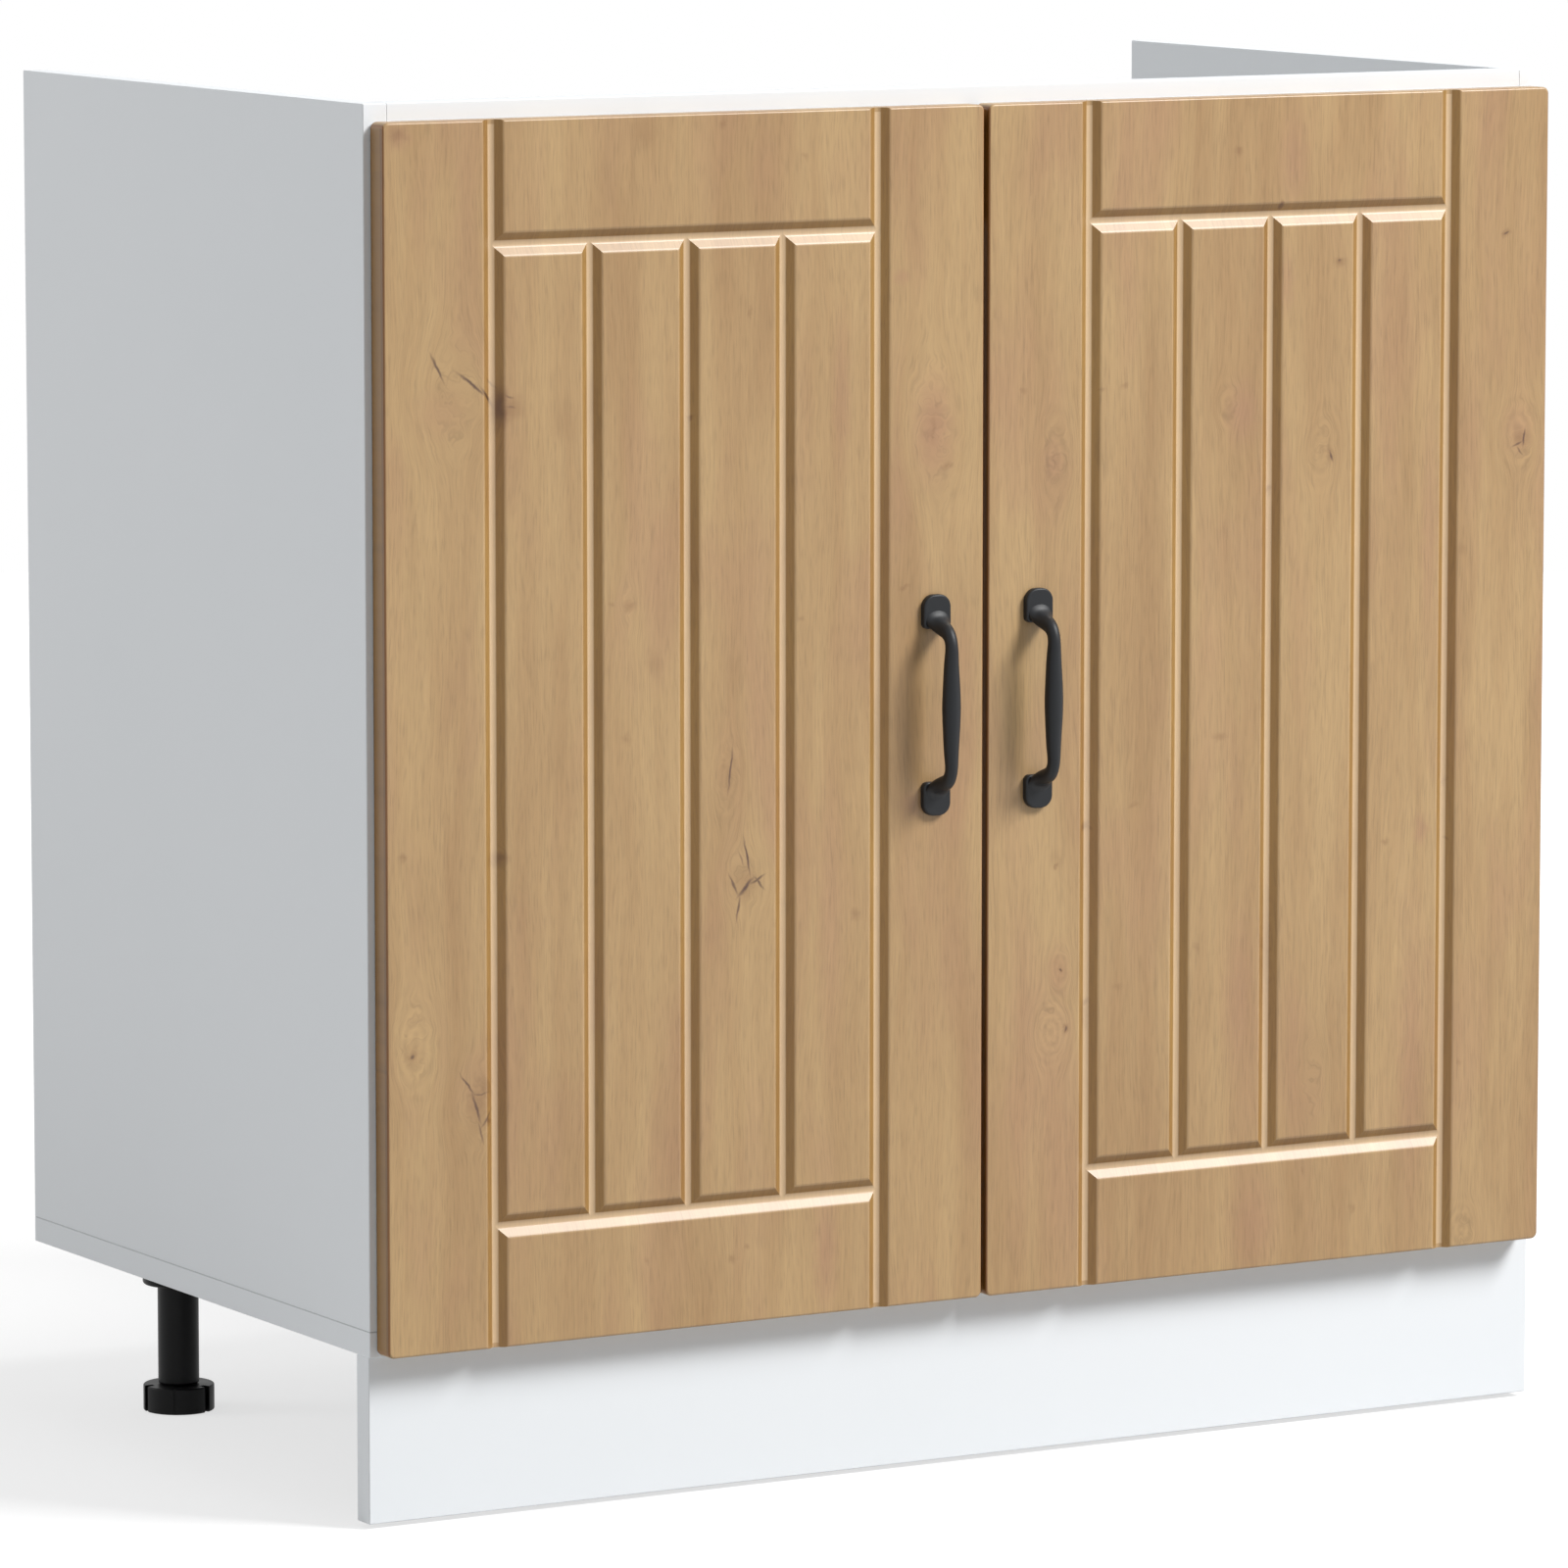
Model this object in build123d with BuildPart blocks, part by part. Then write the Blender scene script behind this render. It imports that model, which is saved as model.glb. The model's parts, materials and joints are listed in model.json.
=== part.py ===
from build123d import *
import os
from math import cos, radians, sin, tan

# Sink base cabinet: a white board carcass with an open top and an open back, on four
# adjustable legs behind a plinth, closed by two foil-faced doors with concealed cup hinges.
# Frame: x to the right, y from the doors towards the wall, z up, millimetres.
# Origin: on the floor, halfway across the width and halfway through the overall depth.

# Carcass boards
cabinet_width = 800
carcass_depth = 444
carcass_height = 715
board = 15
leg_height = 100
rail_thickness = 22
rail_height = 80
rear_rail_height = 100
rear_setback = 5
rear_rebate = 4
plinth_floor_gap = 3
plinth_setback = 1.5
edge_ease = 0.4

# Doors
door_thickness = 15
door_gap = 1
door_side_inset = 4
door_middle_gap = 3
door_top_inset = 10
door_bottom_inset = 1.5
door_corner_radius = 4
door_front_round = 1.5
door_back_round = 0.5

# Grooves in the door faces
frame_groove_inset = 70.5
planks = 4
groove_depth = 3.8
groove_bevel = 34
groove_lip_radius = 3.3
groove_lip_angle = 4
groove_floor_radius = 4
groove_overcut = 1

# Bow handles
handle_projection = 25
handle_edge_inset = 33.5
handle_lift = 2.5
handle_hole_spacing = 96
pad_width = 18.3
pad_height = 20
pad_thickness = 4
pad_end_radius = 7.5
pad_inner_radius = 3.5
pad_face_round = 1.2
grip_diameter = 11
handle_length = 130

# Legs
leg_side_inset = 65
leg_edge_inset = 65
socket_plate_radius = 31
socket_plate = 3
socket_collar_radius = 21.5
socket_collar_depth = 19
socket_collar_round = 2
socket_bore_depth = 17
socket_screw_circle = 26
socket_screws = 4
socket_first_screw = 45
tube_radius = 12.5
tube_bore_radius = 9
tube_nut_radius = 7.6
tube_nut_length = 24
tube_cap = 2
tube_top_slack = 0.5
tube_end_round = 1.5
foot_radius = 21.65
foot_height = 16
foot_gap = 0.3
foot_round = 1
foot_notches = 3
foot_first_notch = 57
foot_notch_width = 4.5
foot_notch_depth = 5
foot_slit_width = 1.2
foot_slit_depth = 0.8
spindle_radius = 7.5
spindle_length = 58
spindle_neck_radius = 5
spindle_neck_length = 10

# Plinth clips
clip_height = 15
clip_floor_gap = 45
clip_wall = 2.4
clip_mouth = 90
clip_arm_width = 10
clip_plate_width = 40
clip_plate_height = 30
clip_plate = 3
clip_screw_spacing = 28

# Fasteners
fit_slack = 0.05
clear_cut = 100
hole_end_slack = 0.5
panel_hole_depth = 11
dowel_radius = 4
dowel_length = 30
dowel_chamfer = 1
cam_radius = 7.45
cam_height = 12.3
cam_setback = 24
cam_slot = 8
cam_cover = 3.5
bolt_thread_radius = 2.5
bolt_shank_radius = 3
bolt_neck_radius = 1.8
bolt_head_radius = 3.3
bolt_head_length = 2.5
rail_fixing_spacing = 32
carcass_screw_radius = 2.5
carcass_screw_length = 50
carcass_screw_shank_radius = 3.5
carcass_screw_head_radius = 5
carcass_screw_head_length = 3
carcass_screw_inset = 60
wood_screw_radius = 1.75
wood_screw_length = 12
wood_screw_head_radius = 3.5
wood_screw_head = 2.2
handle_screw_radius = 2
handle_screw_head_radius = 4
handle_screw_head = 2.5
handle_screw_bite = 4
wall_hole_radius = 3
wall_hole_inset = 60
bumper_radius = 4
bumper_thickness = 0.7
bumper_edge_inset = 20

# Cup hinges. In plan, a place on a hinge is (inward, forward): inward from the inner face of
# the side panel, forward from the front edges of the carcass.
hinge_end_distance = 100
cup_edge_distance = 21.5
cup_radius = 17.5
cup_depth = 11.4
cup_wall = 1
cup_floor = 1.2
cup_shoulder_distance = 9.5
wing_thickness = 1.2
wing_clearance = 2
wing_ring_radius = 19.5
wing_end_radius = 5.5
wing_screw_offset = 9.5
wing_screw_spacing = 45
rear_pivot = (17, -13)
nose_pivot = (11.28, 1)
cup_pivot_offset = (-14.13, 1.36)
open_pivot_offset = (-12.01, 4.51)
pin_radius = 1
pin_fit = 0.06
cup_pin_reach = 8.5
link_width = 2.8
link_eye_radius = 1.9
inner_link_half = 3
outer_link_near = 3.4
outer_link_far = 5.4
link_web_start = 3
link_web_end = 9
outer_link_rear_bend = (0.7, 29.3)
outer_link_cup_bend = (25.8, 5.1)
inner_link_bend = (-2.21, 13.09)
slot_offset = (-0.32, 0.66)
slot_half_length = 0.74
slot_half_width = 1.4
slot_wall = 0.5
slot_angle = 119.8
arm_near = 5.8
arm_far = 7.3
arm_nose_radius = 2.2
arm_web_bottom = 19
arm_web = 1.5
arm_flange_bottom = 9
arm_web_front = 17
arm_length = 66
arm_hole_spacing = 24
plate_thickness = 2
plate_rail_half = 5.4
plate_rail_front = 22
plate_rail_length = 42
plate_slack = 0.1
plate_wing_centre = 37
plate_wing_width = 14
plate_wing_reach = 23
plate_screw_spacing = 32
arm_screw_radius = 2.5
arm_screw_length = 9
arm_screw_head_radius = 4
arm_screw_head = 2

# Planes and levels that the pieces share
overall_depth = carcass_depth + door_gap + door_thickness + handle_projection
back_y = overall_depth / 2
front_y = back_y - carcass_depth
door_back_y = front_y - door_gap
door_face_y = door_back_y - door_thickness
underside_z = leg_height
floor_z = underside_z + board
top_z = underside_z + carcass_height
inner_x = cabinet_width / 2 - board
door_outer_x = cabinet_width / 2 - door_side_inset
door_inner_x = door_middle_gap / 2
door_width = door_outer_x - door_inner_x
door_bottom_z = underside_z + door_bottom_inset
door_top_z = top_z - door_top_inset
door_middle_x = (door_outer_x + door_inner_x) / 2
door_middle_z = (door_bottom_z + door_top_z) / 2
plinth_front_y = front_y + plinth_setback
plinth_back_y = plinth_front_y + board
rear_rail_y = back_y - rear_setback - board
handle_x = door_inner_x + handle_edge_inset
handle_z = door_middle_z + handle_lift
hinge_heights = (door_bottom_z + hinge_end_distance, door_top_z - hinge_end_distance)
sides = (-1, 1)
hands = tuple(zip(("left", "right"), sides))

UP = (0, 0, 1)
DOWN = (0, 0, -1)
TO_WALL = (0, 1, 0)
TO_ROOM = (0, -1, 0)
RIGHT = (1, 0, 0)

os.makedirs("parts", exist_ok=True)


def save(builder, node):
    """Label a finished piece and write it out under its own name."""
    builder.part.label = node
    export_step(builder.part, f"parts/{node}.step")


def facing(points, outward):
    """One plane at each point, all facing the same way."""
    return [Plane(origin=point, z_dir=outward) for point in points]


def drill(points, outward, radius, depth):
    """Bore a round hole into the piece in hand at each point of a face that faces outward."""
    with Locations(*facing(points, outward)):
        Cylinder(radius, depth, align=(Align.CENTER, Align.CENTER, Align.MAX), mode=Mode.SUBTRACT)


def rod(radius, start, end, mode=Mode.ADD):
    """A cylinder along the local z axis, from one height to another."""
    with Locations((0, 0, start)):
        Cylinder(radius, end - start, align=(Align.CENTER, Align.CENTER, Align.MIN), mode=mode)


# Fasteners: each lies along its own z axis, with z = 0 at the face that it enters.

def dowel():
    with BuildPart() as peg:
        Cylinder(dowel_radius, dowel_length)
        chamfer(peg.edges().filter_by(GeomType.CIRCLE), dowel_chamfer)
    return peg.part


def cam_lock():
    """Turning lock, its slot open to local +x, where the bolt head comes in."""
    with BuildPart() as lock:
        rod(cam_radius, -cam_height, 0)
        with Locations((0, 0, -cam_height)):
            Box(cam_radius, cam_slot, cam_height - cam_cover, mode=Mode.SUBTRACT,
                align=(Align.MIN, Align.CENTER, Align.MIN))
    return lock.part


def cam_bolt():
    """Bolt that screws into the side panel and hooks its head into the cam lock."""
    head_end = cam_setback - bolt_neck_radius
    head_start = head_end - bolt_head_length
    with BuildPart() as bolt:
        rod(bolt_thread_radius, hole_end_slack - panel_hole_depth, 0)
        rod(bolt_shank_radius, 0, cam_setback - cam_radius)
        rod(bolt_neck_radius, cam_setback - cam_radius, head_start)
        rod(bolt_head_radius, head_start, head_end)
    return bolt.part


def carcass_screw(slack=0.0):
    """Countersunk screw from below through the bottom panel into a side panel."""
    with BuildPart() as screw:
        rod(carcass_screw_radius + slack, 0, carcass_screw_length + slack)
        rod(carcass_screw_shank_radius + slack, 0, board)
        Cone(carcass_screw_head_radius + slack, carcass_screw_shank_radius + slack,
             carcass_screw_head_length, align=(Align.CENTER, Align.CENTER, Align.MIN))
    return screw.part


def headed_screw(radius, length, head_radius, head_height):
    """Pan-head screw: the head stands on z = 0 and the shank goes down from it."""
    with BuildPart() as screw:
        rod(radius, -length, 0)
        rod(head_radius, 0, head_height)
        fillet(screw.faces().sort_by(Axis.Z)[-1].edges(), head_height / 3)
    return screw.part


def wood_screw():
    return headed_screw(wood_screw_radius, wood_screw_length, wood_screw_head_radius, wood_screw_head)


# Where the carcass is joined together
side_middle_x = cabinet_width / 2 - board / 2
bottom_screw_ys = (front_y + carcass_screw_inset, (front_y + back_y) / 2, back_y - carcass_screw_inset)
bottom_dowel_ys = (bottom_screw_ys[0] + rail_fixing_spacing, bottom_screw_ys[2] - rail_fixing_spacing)
front_rail_middle = (front_y + rail_thickness / 2, top_z - rail_height / 2)
rear_rail_middle = (rear_rail_y + board / 2, floor_z + rear_rail_height / 2)
rail_middles = (front_rail_middle, rear_rail_middle)
dowel_side_depth = panel_hole_depth - hole_end_slack
dowel_deep_hole = dowel_length - dowel_side_depth + hole_end_slack


def rail_dowel_points(middles, side):
    """Dowel holes at one end of the rails, level with the inner face of that side panel."""
    return [(side * inner_x, y, z - rail_fixing_spacing / 2) for y, z in middles]


def rail_bolt_points(middles, side):
    return [(side * inner_x, y, z + rail_fixing_spacing / 2) for y, z in middles]


def bottom_points(ys, side, z):
    return [(side * side_middle_x, y, z) for y in ys]


def plate_screw_points(side):
    """Screw places of the hinge mounting plates on a side panel's inner face."""
    return [(side * inner_x, front_y + plate_wing_centre, z + offset)
            for z in hinge_heights for offset in (-plate_screw_spacing / 2, plate_screw_spacing / 2)]


# Carcass boards

def side_panel(side):
    inward = (-side, 0, 0)
    with BuildPart() as panel:
        with Locations((side * side_middle_x, front_y, floor_z)):
            Box(board, carcass_depth, top_z - floor_z, align=(Align.CENTER, Align.MIN, Align.MIN))
        chamfer(panel.edges(), edge_ease)
        with Locations((side * (inner_x + rear_rebate / 2), back_y, floor_z)):
            Box(rear_rebate, rear_setback, top_z - floor_z, mode=Mode.SUBTRACT,
                align=(Align.CENTER, Align.MAX, Align.MIN))
        drill(rail_dowel_points(rail_middles, side), inward, dowel_radius + fit_slack, panel_hole_depth)
        drill(rail_bolt_points(rail_middles, side), inward, bolt_thread_radius + fit_slack,
              panel_hole_depth)
        drill(plate_screw_points(side), inward, wood_screw_radius + fit_slack, panel_hole_depth)
        drill(bottom_points(bottom_dowel_ys, side, floor_z), DOWN, dowel_radius + fit_slack,
              dowel_deep_hole)
        with Locations(*bottom_points(bottom_screw_ys, side, underside_z)):
            add(carcass_screw(fit_slack), mode=Mode.SUBTRACT)
    return panel.part


for hand, side in hands:
    with BuildPart() as side_board:
        add(side_panel(side))
    save(side_board, f"side_{hand}")


leg_places = {
    "front_left": (leg_side_inset - cabinet_width / 2, front_y + leg_edge_inset),
    "front_right": (cabinet_width / 2 - leg_side_inset, front_y + leg_edge_inset),
    "back_left": (leg_side_inset - cabinet_width / 2, back_y - leg_edge_inset),
    "back_right": (cabinet_width / 2 - leg_side_inset, back_y - leg_edge_inset),
}


def socket_screw_points(z):
    """The screws of every leg socket, on a circle round each leg."""
    points = []
    for x, y in leg_places.values():
        for turn in range(socket_screws):
            angle = radians(socket_first_screw + 360 * turn / socket_screws)
            points.append((x + socket_screw_circle * cos(angle), y + socket_screw_circle * sin(angle), z))
    return points


with BuildPart() as bottom_panel:
    with Locations((0, front_y, underside_z)):
        Box(cabinet_width, carcass_depth, board, align=(Align.CENTER, Align.MIN, Align.MIN))
    chamfer(bottom_panel.edges(), edge_ease)
    for side in sides:
        drill(bottom_points(bottom_dowel_ys, side, floor_z), UP, dowel_radius + fit_slack,
              panel_hole_depth)
        with Locations(*bottom_points(bottom_screw_ys, side, underside_z)):
            add(carcass_screw(fit_slack), mode=Mode.SUBTRACT)
    drill(socket_screw_points(underside_z), DOWN, wood_screw_radius + fit_slack,
          wood_screw_length - socket_plate + hole_end_slack)
save(bottom_panel, "bottom_panel")


def rail_holes(middle, cam_face_y, cam_outward):
    """Dowel, bolt and cam holes at both ends of a rail."""
    for side in sides:
        outward = (side, 0, 0)
        drill(rail_dowel_points([middle], side), outward, dowel_radius + fit_slack, dowel_deep_hole)
        drill(rail_bolt_points([middle], side), outward, bolt_head_radius + fit_slack, cam_setback)
        cam_point = (side * (inner_x - cam_setback), cam_face_y, middle[1] + rail_fixing_spacing / 2)
        drill([cam_point], cam_outward, cam_radius + fit_slack, cam_height + hole_end_slack)


with BuildPart() as front_rail:
    with Locations((0, front_y, top_z)):
        Box(2 * inner_x, rail_thickness, rail_height, align=(Align.CENTER, Align.MIN, Align.MAX))
    chamfer(front_rail.edges(), edge_ease)
    rail_holes(front_rail_middle, front_y + rail_thickness, TO_WALL)
save(front_rail, "front_rail")

with BuildPart() as rear_rail:
    with Locations((0, rear_rail_y, floor_z)):
        Box(2 * inner_x, board, rear_rail_height, align=(Align.CENTER, Align.MIN, Align.MIN))
    chamfer(rear_rail.edges(), edge_ease)
    rail_holes(rear_rail_middle, rear_rail_y, TO_ROOM)
    wall_hole_x = inner_x - wall_hole_inset
    drill([(x, rear_rail_y, rear_rail_middle[1]) for x in (-wall_hole_x, wall_hole_x)],
          TO_ROOM, wall_hole_radius, board)
save(rear_rail, "rear_rail")


def clip_screw_points():
    """Screws that hold the plinth clips to the back of the plinth, two to a clip."""
    z = clip_floor_gap + clip_height / 2
    return [(x + offset, plinth_back_y + clip_plate, z)
            for x in (leg_places["front_left"][0], leg_places["front_right"][0])
            for offset in (-clip_screw_spacing / 2, clip_screw_spacing / 2)]


with BuildPart() as plinth_board:
    with Locations((0, plinth_front_y, underside_z)):
        Box(cabinet_width, board, underside_z - plinth_floor_gap,
            align=(Align.CENTER, Align.MIN, Align.MAX))
    chamfer(plinth_board.edges(), edge_ease)
    drill([(x, plinth_back_y, z) for x, y, z in clip_screw_points()], TO_WALL,
          wood_screw_radius + fit_slack, wood_screw_length - clip_plate + hole_end_slack)
save(plinth_board, "plinth_board")

# Connecting fittings
with BuildPart() as carcass_dowels:
    upright_z = floor_z - dowel_side_depth + dowel_length / 2
    dowel_reach = dowel_length / 2 - dowel_side_depth
    for side in sides:
        with Locations(*bottom_points(bottom_dowel_ys, side, upright_z)):
            add(dowel())
        level = [(x - side * dowel_reach, y, z) for x, y, z in rail_dowel_points(rail_middles, side)]
        with Locations(*facing(level, RIGHT)):
            add(dowel())
save(carcass_dowels, "carcass_dowels")

with BuildPart() as cam_locks:
    cam_x = inner_x - cam_setback
    for face_y, outward, middle in ((front_y + rail_thickness, 1, front_rail_middle),
                                    (rear_rail_y, -1, rear_rail_middle)):
        for side in sides:
            cam_place = (side * cam_x, face_y, middle[1] + rail_fixing_spacing / 2)
            with Locations(Plane(origin=cam_place, x_dir=(side, 0, 0), z_dir=(0, outward, 0))):
                add(cam_lock())
save(cam_locks, "cam_locks")

with BuildPart() as cam_bolts:
    for side in sides:
        with Locations(*facing(rail_bolt_points(rail_middles, side), (-side, 0, 0))):
            add(cam_bolt())
save(cam_bolts, "cam_bolts")

with BuildPart() as bottom_screws:
    for side in sides:
        with Locations(*bottom_points(bottom_screw_ys, side, underside_z)):
            add(carcass_screw())
save(bottom_screws, "bottom_screws")


# Legs: a socket under the bottom panel, a tube in it, a threaded spindle and a turning foot.
tube_bottom_z = foot_height + foot_gap
tube_top_z = underside_z - socket_plate - socket_collar_depth + socket_bore_depth - tube_top_slack


def leg_socket(x, y):
    collar_z = underside_z - socket_plate - socket_collar_depth
    with BuildPart() as socket:
        rod(socket_plate_radius, underside_z - socket_plate, underside_z)
        rod(socket_collar_radius, collar_z, underside_z - socket_plate)
        fillet(socket.faces().sort_by(Axis.Z)[0].edges(), socket_collar_round)
        rod(tube_radius + fit_slack, collar_z, collar_z + socket_bore_depth, mode=Mode.SUBTRACT)
        with PolarLocations(socket_screw_circle, socket_screws, start_angle=socket_first_screw):
            rod(wood_screw_radius + fit_slack, underside_z - socket_plate, underside_z,
                mode=Mode.SUBTRACT)
    return socket.part.moved(Location((x, y, 0)))


def leg_tube(x, y):
    with BuildPart() as tube:
        rod(tube_radius, tube_bottom_z, tube_top_z)
        fillet(tube.edges().group_by(Axis.Z)[0], tube_end_round)
        rod(tube_bore_radius, tube_bottom_z + tube_nut_length, tube_top_z - tube_cap,
            mode=Mode.SUBTRACT)
        rod(tube_nut_radius, tube_bottom_z, tube_bottom_z + tube_nut_length, mode=Mode.SUBTRACT)
    return tube.part.moved(Location((x, y, 0)))


def leg_spindle(x, y):
    with BuildPart() as spindle:
        rod(spindle_neck_radius, foot_height - spindle_neck_length, foot_height)
        rod(spindle_radius, foot_height, foot_height + spindle_length)
    return spindle.part.moved(Location((x, y, 0)))


def leg_foot(x, y):
    """Round foot with finger notches and narrow slits round its rim."""
    with BuildPart() as foot:
        rod(foot_radius, 0, foot_height)
        fillet(foot.edges().filter_by(GeomType.CIRCLE), foot_round)
        with PolarLocations(foot_radius, foot_notches, start_angle=foot_first_notch):
            Box(2 * foot_notch_depth, foot_notch_width, clear_cut, mode=Mode.SUBTRACT)
        with PolarLocations(foot_radius, foot_notches, start_angle=foot_first_notch + 180 / foot_notches):
            Box(2 * foot_slit_depth, foot_slit_width, clear_cut, mode=Mode.SUBTRACT)
        rod(spindle_neck_radius + pin_fit, foot_height - spindle_neck_length - hole_end_slack,
            foot_height, mode=Mode.SUBTRACT)
    return foot.part.moved(Location((x, y, 0)))


for place, (leg_x, leg_y) in leg_places.items():
    for piece, make in (("leg_socket", leg_socket), ("leg_tube", leg_tube),
                        ("leg_spindle", leg_spindle), ("leg_foot", leg_foot)):
        with BuildPart() as leg_piece:
            add(make(leg_x, leg_y))
        save(leg_piece, f"{piece}_{place}")

with BuildPart() as leg_screws:
    with Locations(*facing(socket_screw_points(underside_z - socket_plate), DOWN)):
        add(wood_screw())
save(leg_screws, "leg_screws")


def plinth_clip(x, y):
    """Open ring that snaps on a front leg tube, with a plate on the back of the plinth."""
    clip_inner = tube_radius + fit_slack
    clip_outer = clip_inner + clip_wall
    arm_reach = y - plinth_back_y
    with BuildPart() as clip:
        with BuildSketch(Plane.XY.offset(clip_floor_gap)):
            with Locations((x, y)):
                Circle(clip_outer)
            with Locations((x, y - arm_reach / 2)):
                Rectangle(clip_arm_width, arm_reach)
            with Locations((x, y)):
                Circle(clip_inner, mode=Mode.SUBTRACT)
            with Locations((x, y + clip_outer)):
                Rectangle(2 * clip_inner * sin(radians(clip_mouth / 2)), clip_outer,
                          mode=Mode.SUBTRACT)
        extrude(amount=clip_height)
        with Locations((x, plinth_back_y, clip_floor_gap + clip_height / 2)):
            Box(clip_plate_width, clip_plate, clip_plate_height,
                align=(Align.CENTER, Align.MIN, Align.CENTER))
    return clip.part


with BuildPart() as plinth_clips:
    for place in ("front_left", "front_right"):
        add(plinth_clip(*leg_places[place]))
    drill(clip_screw_points(), TO_WALL, wood_screw_radius + fit_slack, clip_plate)
save(plinth_clips, "plinth_clips")

with BuildPart() as plinth_clip_screws:
    with Locations(*facing(clip_screw_points(), TO_WALL)):
        add(wood_screw())
save(plinth_clip_screws, "plinth_clip_screws")


# Cup hinges
cup_inward = cup_edge_distance - (board - door_side_inset)
cup_bore_depth = cup_depth + hole_end_slack
cup_cavity_radius = cup_radius - cup_wall


def shifted(place, offset):
    """A place in plan, moved by an offset."""
    return (place[0] + offset[0], place[1] + offset[1])


cup_pivot = shifted((cup_inward, door_gap), cup_pivot_offset)
open_pivot = shifted((cup_inward, door_gap), open_pivot_offset)
slot_centre = shifted(open_pivot, slot_offset)


def hinge_plane(side, z):
    """Plan of one hinge: local x inward from the side panel, local y forward to the room."""
    return Plane(origin=(side * inner_x, front_y, z), x_dir=(-side, 0, 0), z_dir=(0, 0, side))


def pin_between(place, low, high):
    """A pin along the hinge's own z axis."""
    with Locations((place[0], place[1], low)):
        Cylinder(pin_radius, high - low, align=(Align.CENTER, Align.CENTER, Align.MIN))


def outer_link():
    """Long link, from the rear pivot of the arm round its nose to the cup: two cheeks and a web."""
    bend_start = shifted(rear_pivot, outer_link_rear_bend)
    bend_end = shifted(cup_pivot, outer_link_cup_bend)
    with BuildPart() as link:
        for level in (outer_link_near, -outer_link_far):
            with BuildSketch(Plane.XY.offset(level)):
                with BuildLine():
                    Bezier(rear_pivot, bend_start, bend_end, cup_pivot)
                trace(line_width=link_width)
                with Locations(rear_pivot, cup_pivot):
                    Circle(link_eye_radius)
                with Locations(rear_pivot, cup_pivot):
                    Circle(pin_radius + pin_fit, mode=Mode.SUBTRACT)
            extrude(amount=outer_link_far - outer_link_near)
        with Locations((rear_pivot[0], rear_pivot[1] + link_web_start, 0)):
            Box(link_width / 2, link_web_end - link_web_start, 2 * outer_link_far,
                align=(Align.CENTER, Align.MIN, Align.CENTER))
    return link.part


def inner_link():
    """Short link, from the nose of the arm to the slotted pivot in the cup."""
    bend = shifted(nose_pivot, inner_link_bend)
    with BuildPart() as link:
        with BuildSketch(Plane.XY.offset(-inner_link_half)):
            with BuildLine():
                Bezier(nose_pivot, bend, slot_centre)
            trace(line_width=link_width)
            with Locations(nose_pivot):
                Circle(link_eye_radius)
            with Locations(Location(slot_centre + (0,), slot_angle)):
                SlotCenterToCenter(2 * slot_half_length, 2 * (slot_half_width + slot_wall))
            with Locations(nose_pivot):
                Circle(pin_radius + pin_fit, mode=Mode.SUBTRACT)
            with Locations(Location(slot_centre + (0,), slot_angle)):
                SlotCenterToCenter(2 * slot_half_length, 2 * slot_half_width, mode=Mode.SUBTRACT)
        extrude(amount=2 * inner_link_half)
    return link.part


def arm_hole_places():
    """The two screws of the arm, in plan, on the rail of the mounting plate."""
    first = -(arm_web_front + arm_hole_spacing / 2)
    return [(arm_web_bottom + arm_web, forward, 0) for forward in (first, first - arm_hole_spacing)]


def hinge_arm():
    """Channel that sits on the mounting plate; its cheeks hold the two fixed pivot pins."""
    arm_top = arm_web_bottom + arm_web
    with BuildPart() as arm:
        for level in (arm_near, -arm_far):
            with BuildSketch(Plane.XY.offset(level)):
                with Locations((arm_flange_bottom, -arm_web_front)):
                    Rectangle(arm_top - arm_flange_bottom, arm_length - arm_web_front,
                              align=(Align.MIN, Align.MAX))
                with Locations(rear_pivot, nose_pivot):
                    Circle(arm_nose_radius)
                make_hull()
                with Locations(rear_pivot, nose_pivot):
                    Circle(pin_radius + fit_slack, mode=Mode.SUBTRACT)
            extrude(amount=arm_far - arm_near)
        with Locations((arm_web_bottom, -arm_web_front, 0)):
            Box(arm_web, arm_length - arm_web_front, 2 * arm_far,
                align=(Align.MIN, Align.MAX, Align.CENTER))
        drill(arm_hole_places(), RIGHT, arm_screw_radius + fit_slack, arm_web)
    return arm.part


def plate_wing_places():
    """The two wing screws of the mounting plate, in the hinge's own frame."""
    return [(plate_thickness, -plate_wing_centre, offset)
            for offset in (-plate_screw_spacing / 2, plate_screw_spacing / 2)]


def mounting_plate():
    """Plate on the side panel: two screw wings and a rail that carries the arm."""
    with BuildPart() as plate:
        with Locations((0, -plate_wing_centre, 0)):
            Box(plate_thickness, plate_wing_width, 2 * plate_wing_reach,
                align=(Align.MIN, Align.CENTER, Align.CENTER))
        fillet(plate.edges().filter_by(Axis.X), plate_wing_width / 3)
        with Locations((0, -plate_rail_front, 0)):
            Box(arm_web_bottom - plate_slack, plate_rail_length, 2 * plate_rail_half,
                align=(Align.MIN, Align.MAX, Align.CENTER))
        drill(plate_wing_places(), RIGHT, wood_screw_radius + fit_slack, plate_thickness)
        drill(arm_hole_places(), RIGHT, arm_screw_radius + fit_slack, arm_web + arm_screw_length)
    return plate.part


def plate_screws():
    """Wing screws into the side panel and the two machine screws of the arm."""
    with BuildPart() as screws:
        with Locations(*facing(plate_wing_places(), RIGHT)):
            add(wood_screw())
        with Locations(*facing(arm_hole_places(), RIGHT)):
            add(headed_screw(arm_screw_radius, arm_screw_length, arm_screw_head_radius, arm_screw_head))
    return screws.part


def arm_pins():
    with BuildPart() as pins:
        for pivot in (rear_pivot, nose_pivot):
            pin_between(pivot, -arm_far, arm_far)
    return pins.part


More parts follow.
